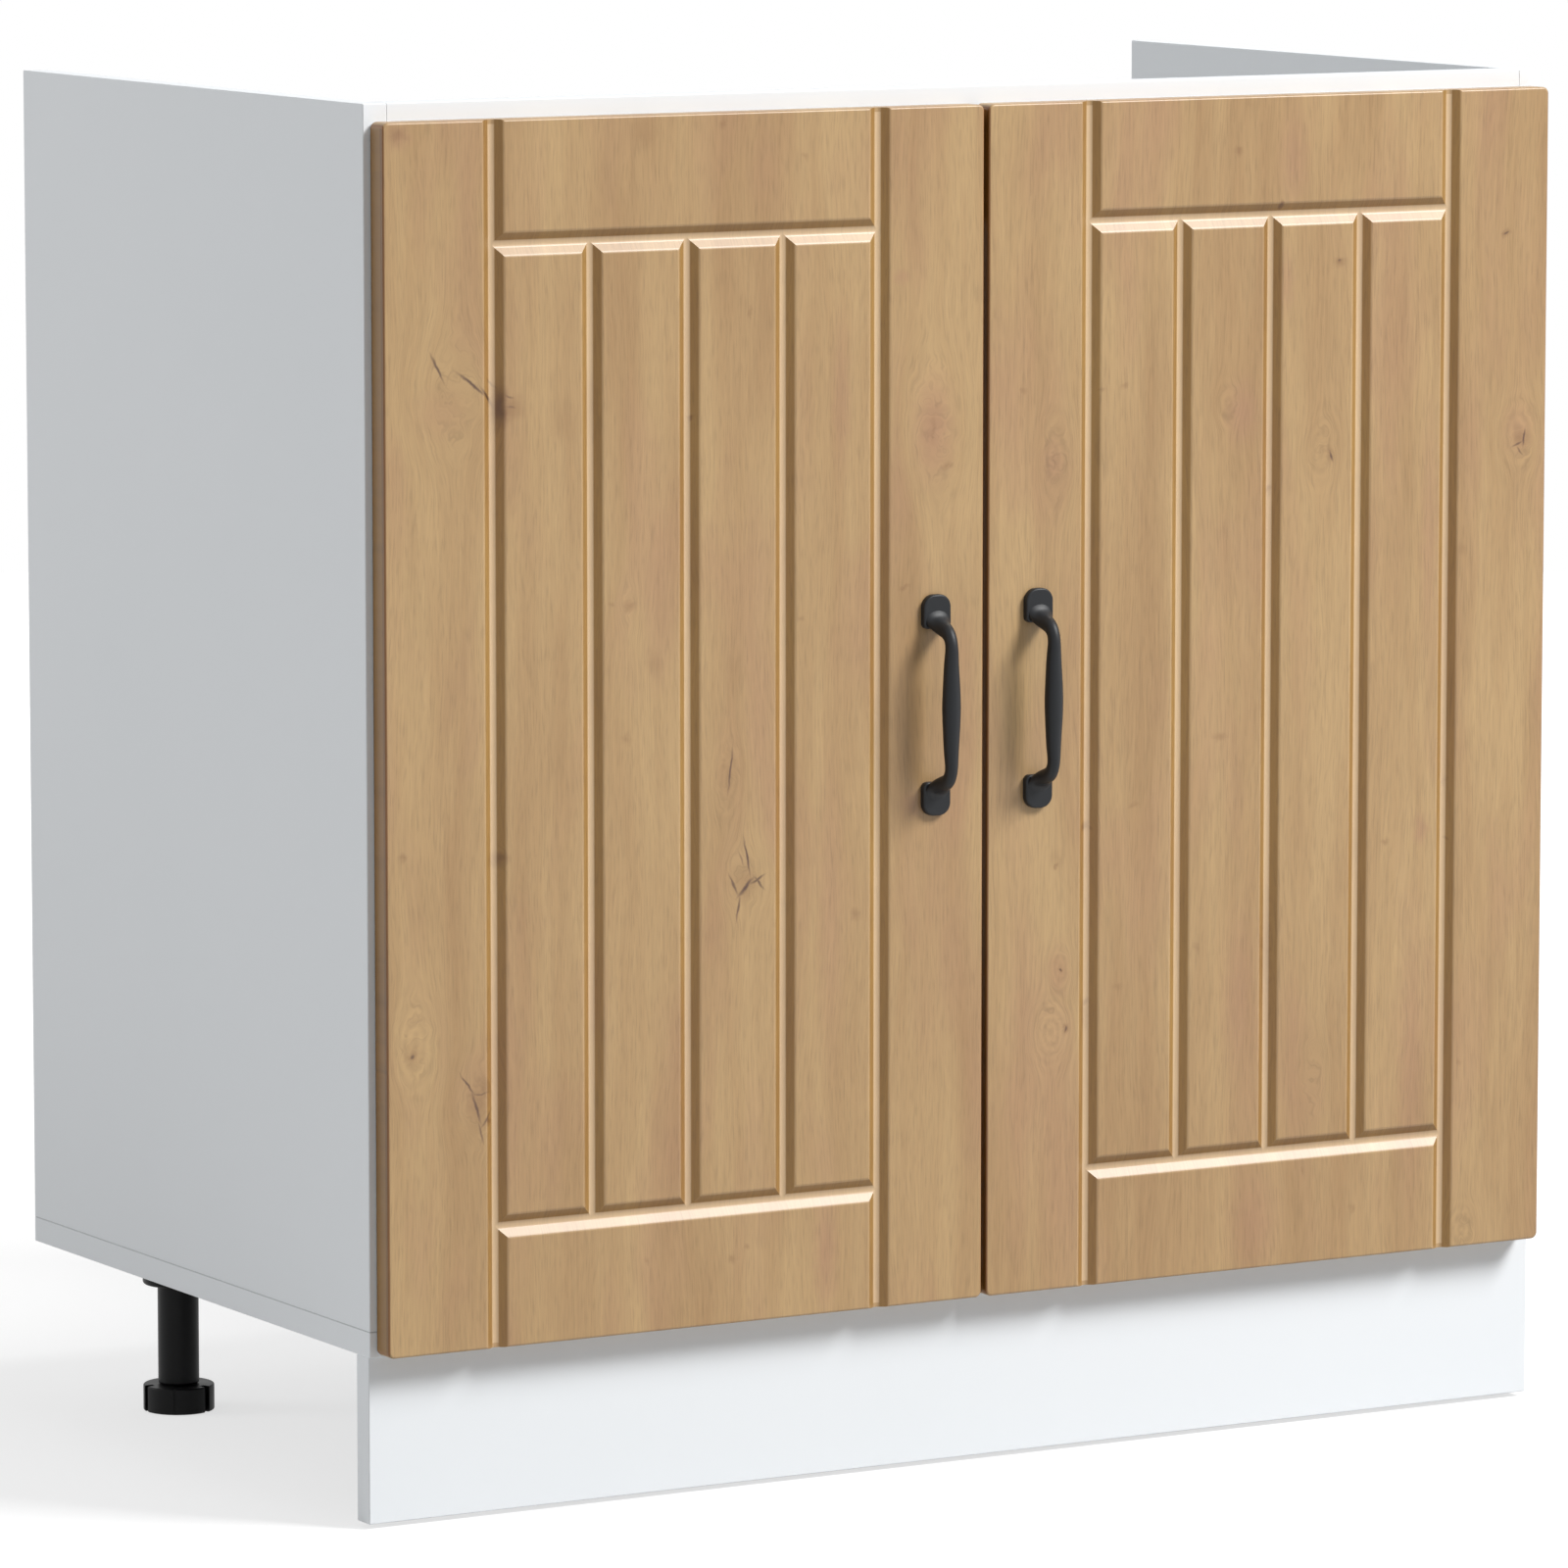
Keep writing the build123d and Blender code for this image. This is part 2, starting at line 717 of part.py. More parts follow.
def cup_pins():
    """Two short pins for the outer link and one long pin for the inner link."""
    with BuildPart() as pins:
        pin_between(cup_pivot, outer_link_near, cup_pin_reach)
        pin_between(cup_pivot, -cup_pin_reach, -outer_link_near)
        pin_between(open_pivot, -cup_pin_reach, cup_pin_reach)
    return pins.part


def wing_screw_places():
    """The cup's two wing screws, in the cup's own plane."""
    return [(wing_screw_offset, offset) for offset in (-wing_screw_spacing / 2, wing_screw_spacing / 2)]


def wing_screw_points():
    """The same screws in the hinge's own frame, on the face of the wings."""
    return [(cup_inward + x, door_gap - wing_thickness, z) for x, z in wing_screw_places()]


def hinge_cup():
    """Pressed cup in the door with two screw wings; shoulders beside the links hold the pins."""
    mouth = Plane(origin=(cup_inward, door_gap, 0), x_dir=(1, 0, 0), z_dir=(0, 1, 0))
    shoulder = cup_shoulder_distance
    throat = 2 * arm_near + 2 * pin_fit
    with BuildPart() as cup:
        with BuildSketch(mouth):
            Circle(cup_radius)
        extrude(amount=cup_depth)
        with BuildSketch(mouth.offset(-wing_thickness)):
            with Locations(*wing_screw_places()):
                Circle(wing_end_radius)
            Circle(wing_ring_radius)
            make_hull()
            with Locations((wing_clearance - cup_inward, 0)):
                Rectangle(clear_cut, clear_cut, align=(Align.MAX, Align.CENTER), mode=Mode.SUBTRACT)
        extrude(amount=wing_thickness)
        with BuildSketch(mouth.offset(-wing_thickness)):
            Circle(cup_cavity_radius)
            with Locations((-shoulder, 0)):
                Rectangle(clear_cut, clear_cut, align=(Align.MAX, Align.CENTER), mode=Mode.SUBTRACT)
                Rectangle(cup_radius, throat, align=(Align.MAX, Align.CENTER))
        extrude(amount=wing_thickness + cup_depth - cup_floor, mode=Mode.SUBTRACT)
        drill(wing_screw_points(), TO_ROOM, wood_screw_radius + fit_slack, wing_thickness)
        for pivot in (cup_pivot, open_pivot):
            with Locations((pivot[0], pivot[1], 0)):
                Cylinder(pin_radius + fit_slack, 2 * cup_pin_reach + 2 * fit_slack,
                         mode=Mode.SUBTRACT)
    return cup.part


def cup_screws():
    with BuildPart() as screws:
        with Locations(*facing(wing_screw_points(), TO_ROOM)):
            add(wood_screw())
    return screws.part


def hinge_pair(make, side):
    """The same hinge piece at both heights of one door."""
    blank = make()
    with BuildPart() as pair:
        for z in hinge_heights:
            add(hinge_plane(side, z).from_local_coords(blank))
    return pair.part


hinge_pieces = (("hinge_plates", mounting_plate), ("hinge_plate_screws", plate_screws),
                ("hinge_arm_pins", arm_pins), ("outer_links", outer_link), ("inner_links", inner_link),
                ("hinge_cup_pins", cup_pins), ("hinge_cup_screws", cup_screws))
single_pieces = (("hinge_arm", hinge_arm), ("hinge_cup", hinge_cup))

for hand, side in hands:
    for node, make in hinge_pieces:
        with BuildPart() as hinge_piece:
            add(hinge_pair(make, side))
        save(hinge_piece, f"{node}_{hand}")
    for node, make in single_pieces:
        for level, z in zip(("lower", "upper"), hinge_heights):
            with BuildPart() as hinge_piece:
                add(hinge_plane(side, z).from_local_coords(make()))
            save(hinge_piece, f"{node}_{hand}_{level}")


# Doors

def groove_profile():
    """Half-round-bottomed groove: its lips curve in from the face and its sides slope to the floor.

    Drawn with the door face at local y = 0 and the depth along local +y.
    """
    bevel = radians(groove_bevel)
    lip = radians(groove_lip_angle)
    floor_x = groove_floor_radius * sin(bevel)
    floor_y = groove_depth - groove_floor_radius * (1 - cos(bevel))
    lip_run = groove_lip_radius * (sin(bevel) - sin(lip))
    lip_y = groove_lip_radius * (cos(lip) - cos(bevel))
    slope_x = floor_x + (floor_y - lip_y) / tan(bevel)
    edge_x = slope_x + lip_run
    middle = (bevel + lip) / 2
    lip_mid_x = slope_x + groove_lip_radius * (sin(bevel) - sin(middle))
    lip_mid_y = groove_lip_radius * (cos(lip) - cos(middle))
    with BuildSketch(mode=Mode.PRIVATE) as profile:
        with BuildLine():
            Polyline((-edge_x, 0), (-edge_x, -groove_overcut), (edge_x, -groove_overcut), (edge_x, 0))
            for side in sides:
                ThreePointArc((side * edge_x, 0), (side * lip_mid_x, lip_mid_y), (side * slope_x, lip_y))
                Line((side * slope_x, lip_y), (side * floor_x, floor_y))
            ThreePointArc((-floor_x, floor_y), (0, groove_depth), (floor_x, floor_y))
        make_face()
    return profile.sketch


def cut_groove(start, direction, length):
    """Cut one groove along the door face, from a point in the given direction."""
    sideways = RIGHT if direction == UP else DOWN
    with Locations(Plane(origin=start, x_dir=sideways, z_dir=direction)):
        add(extrude(groove_profile(), amount=length, mode=Mode.PRIVATE), mode=Mode.SUBTRACT)


def door_panel(side):
    left = side * door_middle_x - door_width / 2
    first_x = left + frame_groove_inset
    last_x = left + door_width - frame_groove_inset
    low_z = door_bottom_z + frame_groove_inset
    high_z = door_top_z - frame_groove_inset
    with BuildPart() as panel:
        with BuildSketch(Plane.XZ.offset(-door_back_y)):
            with Locations((side * door_middle_x, door_middle_z)):
                RectangleRounded(door_width, door_top_z - door_bottom_z, door_corner_radius)
        extrude(amount=door_thickness)
        fillet(panel.faces().sort_by(Axis.Y)[0].edges(), door_front_round)
        fillet(panel.faces().sort_by(Axis.Y)[-1].edges(), door_back_round)
        for x in (first_x, last_x):
            cut_groove((x, door_face_y, door_bottom_z - groove_overcut), UP,
                       door_top_z - door_bottom_z + 2 * groove_overcut)
        for plank in range(1, planks):
            plank_x = first_x + (last_x - first_x) * plank / planks
            cut_groove((plank_x, door_face_y, low_z), UP, high_z - low_z)
        for z in (low_z, high_z):
            cut_groove((first_x, door_face_y, z), RIGHT, last_x - first_x)
        cup_x = side * (inner_x - cup_inward)
        drill([(cup_x, door_back_y, z) for z in hinge_heights], TO_WALL, cup_radius + fit_slack,
              cup_bore_depth)
        wing_points = [(side * (inner_x - cup_inward - x), door_back_y, z + offset)
                       for z in hinge_heights for x, offset in wing_screw_places()]
        drill(wing_points, TO_WALL, wood_screw_radius + fit_slack,
              wood_screw_length - wing_thickness + hole_end_slack)
        drill(handle_screw_points(side), TO_WALL, handle_screw_radius + fit_slack, door_thickness)
    return panel.part


def handle_screw_points(side):
    """Where the handle screws enter the back of the door."""
    return [(side * handle_x, door_back_y, handle_z + offset)
            for offset in (-handle_hole_spacing / 2, handle_hole_spacing / 2)]


def handle_pad():
    """Flat foot of the handle, its outer end at local y = 0 and its front face up."""
    with BuildPart() as pad:
        with BuildSketch() as outline:
            Rectangle(pad_width, pad_height, align=(Align.CENTER, Align.MAX))
            fillet(outline.vertices().group_by(Axis.Y)[-1], pad_end_radius)
            fillet(outline.vertices().group_by(Axis.Y)[0], pad_inner_radius)
        extrude(amount=pad_thickness)
        fillet(pad.faces().sort_by(Axis.Z)[-1].edges(), pad_face_round)
    return pad.part


def bow_handle(side):
    """Bow handle: two flat pads, necks that lift from them and a round grip, thickest mid-way."""
    grip_out = handle_projection - grip_diameter / 2
    # Places along the upper half of the bow: height above its middle, distance in front of the
    # door, width and thickness.
    stations = (
        (60, 1.6, 16.0, 4.2),
        (53, 2.2, 16.5, 5.4),
        (48.5, 4.6, 15.0, 7.4),
        (45.5, 10.5, 10.6, 9.0),
        (42.5, 16.4, 8.0, 8.6),
        (37, 19.4, 7.4, 7.8),
        (28, grip_out, 8.4, 8.8),
        (14, grip_out, 10.0, 10.2),
        (0, grip_out, grip_diameter, grip_diameter),
    )
    lower_half = [(-height, out, width, depth) for height, out, width, depth in stations[-2::-1]]
    bow = list(stations) + lower_half
    with BuildPart() as handle:
        for index, (height, out, width, depth) in enumerate(bow):
            before = bow[max(index - 1, 0)]
            after = bow[min(index + 1, len(bow) - 1)]
            along = (0, before[1] - after[1], after[0] - before[0])
            section = Plane(origin=(side * handle_x, door_face_y - out, handle_z + height),
                            x_dir=RIGHT, z_dir=along)
            with BuildSketch(section):
                Ellipse(width / 2, depth / 2)
        loft()
        for end in (-1, 1):
            pad_plane = Plane(origin=(side * handle_x, door_face_y, handle_z + end * handle_length / 2),
                              x_dir=(end, 0, 0), z_dir=TO_ROOM)
            add(pad_plane.from_local_coords(handle_pad()))
        split(bisect_by=Plane(origin=(0, door_face_y, 0), z_dir=TO_ROOM), keep=Keep.TOP)
        drill([(x, door_face_y, z) for x, y, z in handle_screw_points(side)], TO_WALL,
              handle_screw_radius + fit_slack, handle_screw_bite + hole_end_slack)
    return handle.part


def handle_screws(side):
    length = door_thickness + handle_screw_bite
    with BuildPart() as screws:
        with Locations(*facing(handle_screw_points(side), TO_WALL)):
            add(headed_screw(handle_screw_radius, length, handle_screw_head_radius, handle_screw_head))
    return screws.part


def door_bumpers(side):
    """Soft discs on the back of the door, near its free edge, that meet the rail and the bottom."""
    bumper_x = side * (door_inner_x + bumper_edge_inset)
    heights = (floor_z - board / 2, top_z - door_top_inset - bumper_edge_inset / 2)
    with BuildPart() as bumpers:
        with Locations(*facing([(bumper_x, door_back_y, z) for z in heights], TO_WALL)):
            Cylinder(bumper_radius, bumper_thickness, align=(Align.CENTER, Align.CENTER, Align.MIN))
    return bumpers.part


for hand, side in hands:
    for node, make in (("door", door_panel), ("handle", bow_handle), ("handle_screws", handle_screws),
                       ("door_bumpers", door_bumpers)):
        with BuildPart() as door_piece:
            add(make(side))
        save(door_piece, f"{node}_{hand}")
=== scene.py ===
# %% [markdown]
# # A sink base cabinet, dressed in Blender
# The cabinet arrives as an exact model: white boards, two grooved doors, hinges, handles and
# legs, each piece in its place. This lesson gives every piece the finish of the real one,
# presses crosses into the screw heads, which the exact model leaves flat, and sets up a small
# studio. Lengths are written in millimetres, as on a workshop drawing, and turned into metres.

# %% Load the cabinet
import json
from math import cos, radians, sin, tau

import bmesh
import bpy
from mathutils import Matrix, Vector


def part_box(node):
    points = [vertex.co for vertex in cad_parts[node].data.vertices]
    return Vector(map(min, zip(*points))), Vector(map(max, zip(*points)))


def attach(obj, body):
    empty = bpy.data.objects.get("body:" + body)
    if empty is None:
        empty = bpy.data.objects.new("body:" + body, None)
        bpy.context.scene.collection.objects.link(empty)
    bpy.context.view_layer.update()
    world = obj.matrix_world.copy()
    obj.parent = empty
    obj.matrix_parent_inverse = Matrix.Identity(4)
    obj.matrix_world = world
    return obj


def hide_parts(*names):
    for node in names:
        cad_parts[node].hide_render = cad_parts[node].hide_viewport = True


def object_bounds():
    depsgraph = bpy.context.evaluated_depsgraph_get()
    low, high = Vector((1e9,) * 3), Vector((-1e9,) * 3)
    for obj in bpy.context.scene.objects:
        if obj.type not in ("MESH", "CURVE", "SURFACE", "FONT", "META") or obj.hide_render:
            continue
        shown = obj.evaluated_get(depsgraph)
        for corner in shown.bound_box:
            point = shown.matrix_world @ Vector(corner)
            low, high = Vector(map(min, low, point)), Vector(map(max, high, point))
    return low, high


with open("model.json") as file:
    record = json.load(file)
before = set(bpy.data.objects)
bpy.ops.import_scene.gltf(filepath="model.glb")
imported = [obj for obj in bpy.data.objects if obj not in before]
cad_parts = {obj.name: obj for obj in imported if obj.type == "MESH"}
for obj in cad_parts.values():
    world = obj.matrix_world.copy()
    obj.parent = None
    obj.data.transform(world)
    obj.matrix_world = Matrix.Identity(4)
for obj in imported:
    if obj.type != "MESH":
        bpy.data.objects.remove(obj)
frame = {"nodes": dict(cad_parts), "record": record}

MM = 0.001
cad_low, cad_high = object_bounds()
middle = (cad_low + cad_high) / 2
print("loaded", len(frame["nodes"]), "pieces; size in mm:",
      [round(side / MM, 1) for side in cad_high - cad_low])

# %% [markdown]
# ## The camera
# The photograph was taken from the left of the doors and a little above the middle of the
# cabinet, from far away through a long lens, so the boards hardly taper. Its upright edges are
# almost parallel, as a lens shifted downwards draws them. Blender has that shift too, but a
# camera that looks slightly down draws nearly the same picture, and it still works when it is
# moved round the cabinet. The place (in mm) and the angles (in degrees) were worked out from
# the edges of the boards.

# %% The camera
camera_place = Vector((-2784.8, -4804.8, 1089.4)) * MM
camera_turn, camera_tilt = 30.0, 7.25
lens_length, film_width = 211.7, 36
nearest, farthest = 0.1, 100

camera = bpy.data.objects.new("camera", bpy.data.cameras.new("camera"))
bpy.context.scene.collection.objects.link(camera)
camera.location = camera_place
camera.rotation_euler = (radians(90 - camera_tilt), 0, radians(-camera_turn))
camera.data.lens = lens_length
camera.data.sensor_width = film_width
camera.data.clip_start, camera.data.clip_end = nearest, farthest
bpy.context.scene.camera = camera
print("camera", round((camera_place - middle).length, 2), "m from the cabinet")

# %% [markdown]
# ## Colours and nodes
# Paint charts and photographs give colours in sRGB, and Blender's shaders count in linear
# light, so one function turns one into the other. Shader nodes could be added by hand in the
# editor. Written down, they can be read, repeated and changed, and one function that adds any
# node together with its settings and its links keeps each material short.


# %% Colours and nodes
def linear(hex_code):
    """An sRGB colour such as #C4A376 as the linear RGBA that shaders use."""
    shares = [int(hex_code[i:i + 2], 16) / 255 for i in (1, 3, 5)]
    return [s / 12.92 if s <= 0.04045 else ((s + 0.055) / 1.055) ** 2.4 for s in shares] + [1]


def add_node(tree, kind, inputs=None, **settings):
    """Adds a shader node. Each input is a value, a node or one of a node's outputs."""
    made = tree.nodes.new("ShaderNode" + kind)
    for name, value in settings.items():
        setattr(made, name, value)
    for key, value in (inputs or {}).items():
        if isinstance(value, bpy.types.Node):
            value = value.outputs[0]
        if isinstance(value, bpy.types.NodeSocket):
            tree.links.new(value, made.inputs[key])
        else:
            made.inputs[key].default_value = value
    return made


# %% [markdown]
# A material starts as one Principled shader. What is the same all over a surface is set on the
# shader's own sockets, and nodes are linked only to those that vary. The pieces of the exact
# model keep their shape and change only their material.


# %% Materials on pieces
def new_material(name, **surface):
    """A material with one Principled shader, whose own sockets take the plain values."""
    made = bpy.data.materials.new(name)
    made.use_nodes = True
    shader = made.node_tree.nodes["Principled BSDF"]
    for key, value in surface.items():
        shader.inputs[key.replace("_", " ")].default_value = value
    return made, made.node_tree, shader


def dress(material, *nodes):
    """Gives pieces of the exact model a material in place of the one they came with."""
    for name in nodes:
        mesh = frame["nodes"][name].data
        mesh.materials.clear()
        mesh.materials.append(material)
    print(material.name, "on", len(nodes), "pieces")


def named(*starts):
    """The pieces of the exact model whose names start with any of these words."""
    return [name for name in sorted(frame["nodes"]) if name.startswith(starts)]


# %% [markdown]
# ## White melamine board
# The carcass and the plinth are chipboard faced with white melamine: paper soaked in resin,
# pressed hot against a steel sheet that leaves a fine pearl texture. The eye sees a clean,
# slightly cool white with a soft sheen that breaks up in the texture, which is about 0.8 mm
# from bump to bump. A tiled picture would need every board unwrapped. A noise read in the
# cabinet's own coordinates has its true size on all of them. So one noise makes the pearl
# texture, and a second, very slow one keeps large faces from looking like paper cut-outs.

# %% White melamine: tint and sheen
pearl_size, pearl_height = 0.8, 0.1
board_waviness = 160

melamine, tree, shader = new_material("white_melamine", IOR=1.5, Specular_IOR_Level=0.35)
place = add_node(tree, "TexCoord").outputs["Object"]
pearl = add_node(tree, "TexNoise", {
    "Vector": place, "Scale": 1 / (pearl_size * MM), "Detail": 1.5, "Roughness": 0.6})
waves = add_node(tree, "TexNoise", {
    "Vector": place, "Scale": 1 / (board_waviness * MM), "Detail": 2})
tint = add_node(tree, "Mix", {0: waves, 6: linear("#EBEFF2"), 7: linear("#EEF1F4")},
                data_type="RGBA")
gloss = add_node(tree, "MapRange", {"Value": pearl, "To Min": 0.4, "To Max": 0.55})
tree.links.new(gloss.outputs[0], shader.inputs["Roughness"])
relief = add_node(tree, "Bump", {
    "Height": pearl, "Strength": 0.06, "Distance": pearl_height * MM})
tree.links.new(relief.outputs[0], shader.inputs["Normal"])

# %% [markdown]
# Where the sides stand on the bottom panel, the eased edges of both boards leave a thin shaded line
# all the way round. The exact model has the eased edges, but they are too fine to catch much
# shadow, so this shade is painted into the colour as a grey line. A level face at that height, such
# as the top of the bottom panel, has to stay white, so faces that look up or down do without it.

# %% White melamine: the painted shade line above the bottom panel
shade_line_width, joint_height = 0.8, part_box("side_left")[0].z
level_from = 0.9

height = add_node(tree, "SeparateXYZ", {0: place}).outputs["Z"]
in_shade_line = add_node(tree, "Math", {0: height, 1: joint_height, 2: shade_line_width / 2 * MM},
                    operation="COMPARE")
looks_at = add_node(tree, "TexCoord").outputs["Normal"]
upward = add_node(tree, "SeparateXYZ", {0: looks_at}).outputs["Z"]
sideways = add_node(tree, "Math", {0: upward, 1: 0.0, 2: level_from}, operation="COMPARE")
# painted shade: a grey line on sideways faces at the height of the joint
line = add_node(tree, "Math", {0: sideways, 1: in_shade_line}, operation="MULTIPLY")
tint = add_node(tree, "Mix", {0: line, 6: tint.outputs[2], 7: linear("#CDD1D3")},
                data_type="RGBA")
tree.links.new(tint.outputs[2], shader.inputs["Base Color"])
print("joint line", round(joint_height / MM), "mm above the floor")
dress(melamine, "side_left", "side_right", "bottom_panel", "front_rail", "rear_rail",
      "plinth_board")

# %% [markdown]
# ## Oak foil
# The doors are fibreboard under a printed foil, drawn over the face and down into the grooves,
# so one print runs on across every groove. It shows knotty oak: fine streaks along the grain,
# faint darker and pinker bands, and here and there a knot with thin dark cracks that the grain
# flows round. A scanned picture of oak would be the quick way. Here the print is built from
# noise and ovals instead, because then every knot can be put where the real door has it, and
# the grain is as sharp close up as from afar. The ovals come first. Each is one point's
# distance from a middle, measured in half widths and half heights.


# %% Oak foil: ovals on the print
def oval(tree, place, x, z, half_width, half_height, tilt):
    """How far a point is from the middle of a tilted oval: 1 at its rim. Lengths in mm."""
    local = add_node(tree, "Mapping", {
        "Vector": place, "Location": (x * MM, 0, z * MM), "Rotation": (0, radians(tilt), 0),
        "Scale": (half_width * MM, 1, half_height * MM)}, vector_type="TEXTURE")
    return local, add_node(tree, "VectorMath", {0: local}, operation="LENGTH").outputs["Value"]


def fading(tree, away, strength, solid=0.0):
    """strength in the middle of an oval, falling smoothly to 0 at its rim."""
    return add_node(tree, "MapRange", {
        "Value": away, "From Min": solid, "From Max": 1, "To Min": strength, "To Max": 0},
        interpolation_type="SMOOTHSTEP")


def marked(tree, place, marks, solid):
    """The strongest of many ovals at a point, each full up to the share solid of its reach.

    Each is x, z, half width, half height, tilt in degrees and strength."""
    amount = 0.0
    for *shape, strength in marks:
        away = oval(tree, place, *shape)[1]
        amount = add_node(tree, "Math", {0: amount, 1: fading(tree, away, strength, solid)},
                          operation="MAXIMUM")
    return amount


# %% [markdown]
# Streaks are a noise stretched along the grain. A stain or a crack is never a clean oval, so
# the place where its oval is read is shaken a little first, and its rim turns ragged.

# %% Oak foil: stretched and shaken
fray_size = 7


def stretched(tree, place, width, length, detail, roughness=0.5):
    """Noise drawn out along the grain: width and length in mm."""
    squeezed = add_node(tree, "Mapping", {
        "Vector": place, "Scale": (1 / (width * MM), 1, 1 / (length * MM))})
    return add_node(tree, "TexNoise", {
        "Vector": squeezed, "Scale": 1, "Detail": detail, "Roughness": roughness})


def frayed(tree, place, reach):
    """The place on the print, shaken by up to half of reach, in mm."""
    shake = add_node(tree, "TexNoise", {
        "Vector": place, "Scale": 1 / (fray_size * MM), "Detail": 3})
    centred = add_node(tree, "VectorMath", {0: shake.outputs["Color"], 1: (0.5, 0.5, 0.5)},
                       operation="SUBTRACT")
    step = add_node(tree, "VectorMath", {0: centred, "Scale": reach * MM}, operation="SCALE")
    return add_node(tree, "VectorMath", {0: place, 1: step}, operation="ADD")


# %% [markdown]
# Real grain opens round a knot and closes again. The streaks could be drawn as curves, but
# there are thousands. It is simpler to bend the coordinates that the noise is read in: before
# it is read, its sideways coordinate is pushed away from each knot, and that bends the streaks
# round the knot, as growth rings do. A slow sway keeps the rest of the grain from running dead
# straight, and a finer, uneven push near the knots ruffles the fibres there.


# %% Oak foil: growth rings
def ring_wave(tree, away, ruffle, count):
    """Growth rings round a knot: a wave in the distance from its middle, a little ruffled."""
    wobble = add_node(tree, "Math", {0: ruffle, 1: tau}, operation="MULTIPLY")
    phase = add_node(tree, "Math", {0: away, 1: count * tau, 2: wobble}, operation="MULTIPLY_ADD")
    return add_node(tree, "Math", {0: phase}, operation="SINE")


# %% Oak foil: the run of the grain
sway_width, sway_length, sway_reach = 70, 260, 24
ruffle_size, ruffle_reach = 13, 7


def bent_grain(tree, place, shift, eyes):
    """The place on the print with its grain straightened, and a pattern of growth rings.

    An eye is an oval that the grain opens round: x, z, half width, half height, tilt, push and
    the number of its rings."""
    swaying = add_node(tree, "VectorMath", {0: place, 1: (shift, 0, shift)}, operation="ADD")
    sway = stretched(tree, swaying, sway_width, sway_length, 2.5)
    push = add_node(tree, "MapRange", {
        "Value": sway, "To Min": -sway_reach / 2 * MM, "To Max": sway_reach / 2 * MM})
    ruffle = add_node(tree, "TexNoise", {
        "Vector": place, "Scale": 1 / (ruffle_size * MM), "Detail": 2})
    near_knots, rings = 0.0, 0.0
    for *shape, strength, ring_count in eyes:
        local, away = oval(tree, place, *shape)
        near = fading(tree, away, 1)
        sideways = add_node(tree, "SeparateXYZ", {0: local})
        shove = add_node(tree, "Math", {0: sideways, 1: near}, operation="MULTIPLY")
        push = add_node(tree, "Math", {0: shove, 1: -strength * shape[2] * MM, 2: push},
                        operation="MULTIPLY_ADD")
        near_knots = add_node(tree, "Math", {0: near, 1: near_knots}, operation="MAXIMUM")
        if ring_count:
            wave = ring_wave(tree, away, ruffle, ring_count)
            rings = add_node(tree, "Math", {0: wave, 1: near, 2: rings}, operation="MULTIPLY_ADD")
    ruffling = add_node(tree, "MapRange", {
        "Value": ruffle, "To Min": -ruffle_reach * MM, "To Max": ruffle_reach * MM})
    push = add_node(tree, "Math", {0: ruffling, 1: near_knots, 2: push}, operation="MULTIPLY_ADD")
    sides = add_node(tree, "SeparateXYZ", {0: place})
    across = add_node(tree, "Math", {0: sides, 1: push}, operation="ADD")
    return add_node(tree, "CombineXYZ", {0: across, 1: shift, 2: sides.outputs["Z"]}), rings


# %% [markdown]
# Two small helpers serve the rest of the print. One lays colours along a length, each stop being
# a share of it and a colour. The other measures how far from the middle of the door a point is.


# %% Oak foil: colours along a length
def ramped(tree, value, low, high, *stops):
    """Colours along a length: value runs from low to high, and each stop is a share and a hex."""
    share = add_node(tree, "MapRange", {"Value": value, "From Min": low, "From Max": high})
    ramp = add_node(tree, "ValToRGB", {"Fac": share})
    elements = ramp.color_ramp.elements
    while len(elements) < len(stops):
        elements.new(0.5)
    for element, (position, colour) in zip(elements, stops):
        element.position = position
        element.color = linear(colour)
    return ramp


def off_centre(tree, coordinate, low, high):
    """How far a coordinate is from halfway between low and high."""
    offset = add_node(tree, "Math", {0: coordinate, 1: (low + high) / 2}, operation="SUBTRACT")
    return add_node(tree, "Math", {0: offset}, operation="ABSOLUTE")


# %% [markdown]
# The foil is stretched over the lips of the upright grooves and over the front edges. Light alone
# draws the shade in these strips too faintly, because the grooves are shallow and the lips are only
# a millimetre or two wide. So painted shade, a darker tint, is multiplied into the print on the
# groove slopes that do not face up. Round the front edges the tint is partly painted shade and
# partly a darker print. It follows the depth below the door's face, not the light, so it stays when
# the cabinet is turned.

# %% Oak foil: painted shade in the grooves and round the front edges
groove_depth, edge_round = 3.8, 1.3
# painted shade on the groove slopes; round the front edges partly painted shade and partly a darker
# print
lip_shade_tints = (0.06, "#FFFFFF"), (0.16, "#DED0A6"), (0.8, "#DED0A6"), (0.88, "#FFFFFF")
edge_print_and_shade_tints = (0.1, "#FFFFFF"), (0.4, "#D7BBA0"), (0.85, "#D7BBA0"), (0.99, "#C2AE78")
upright_below, level_above = 0.1, 0.4


def painted_groove_shade(tree, sides, colour, low, high):
    """The print, with painted shade down the sides of the upright grooves, and painted shade and a
    darker print round the front edges.
    """
    looks_at = add_node(tree, "TexCoord").outputs["Normal"]
    upright = add_node(tree, "MapRange", {
        "Value": add_node(tree, "SeparateXYZ", {0: looks_at}).outputs["Z"],
        "From Min": upright_below, "From Max": level_above, "To Min": 1, "To Max": 0})
    lips = ramped(tree, sides.outputs["Y"], low.y, low.y + groove_depth * MM, *lip_shade_tints)
    rim = (high.x - low.x) / 2
    edges = ramped(tree, off_centre(tree, sides.outputs["X"], low.x, high.x),
                   rim - edge_round * MM, rim, *edge_print_and_shade_tints)
    # the painted shade is multiplied into the print
    for amount, tint in ((upright, lips), (1.0, edges)):
        colour = add_node(tree, "Mix", {0: amount, 6: colour, 7: tint}, data_type="RGBA",
                          blend_type="MULTIPLY").outputs[2]
    return colour
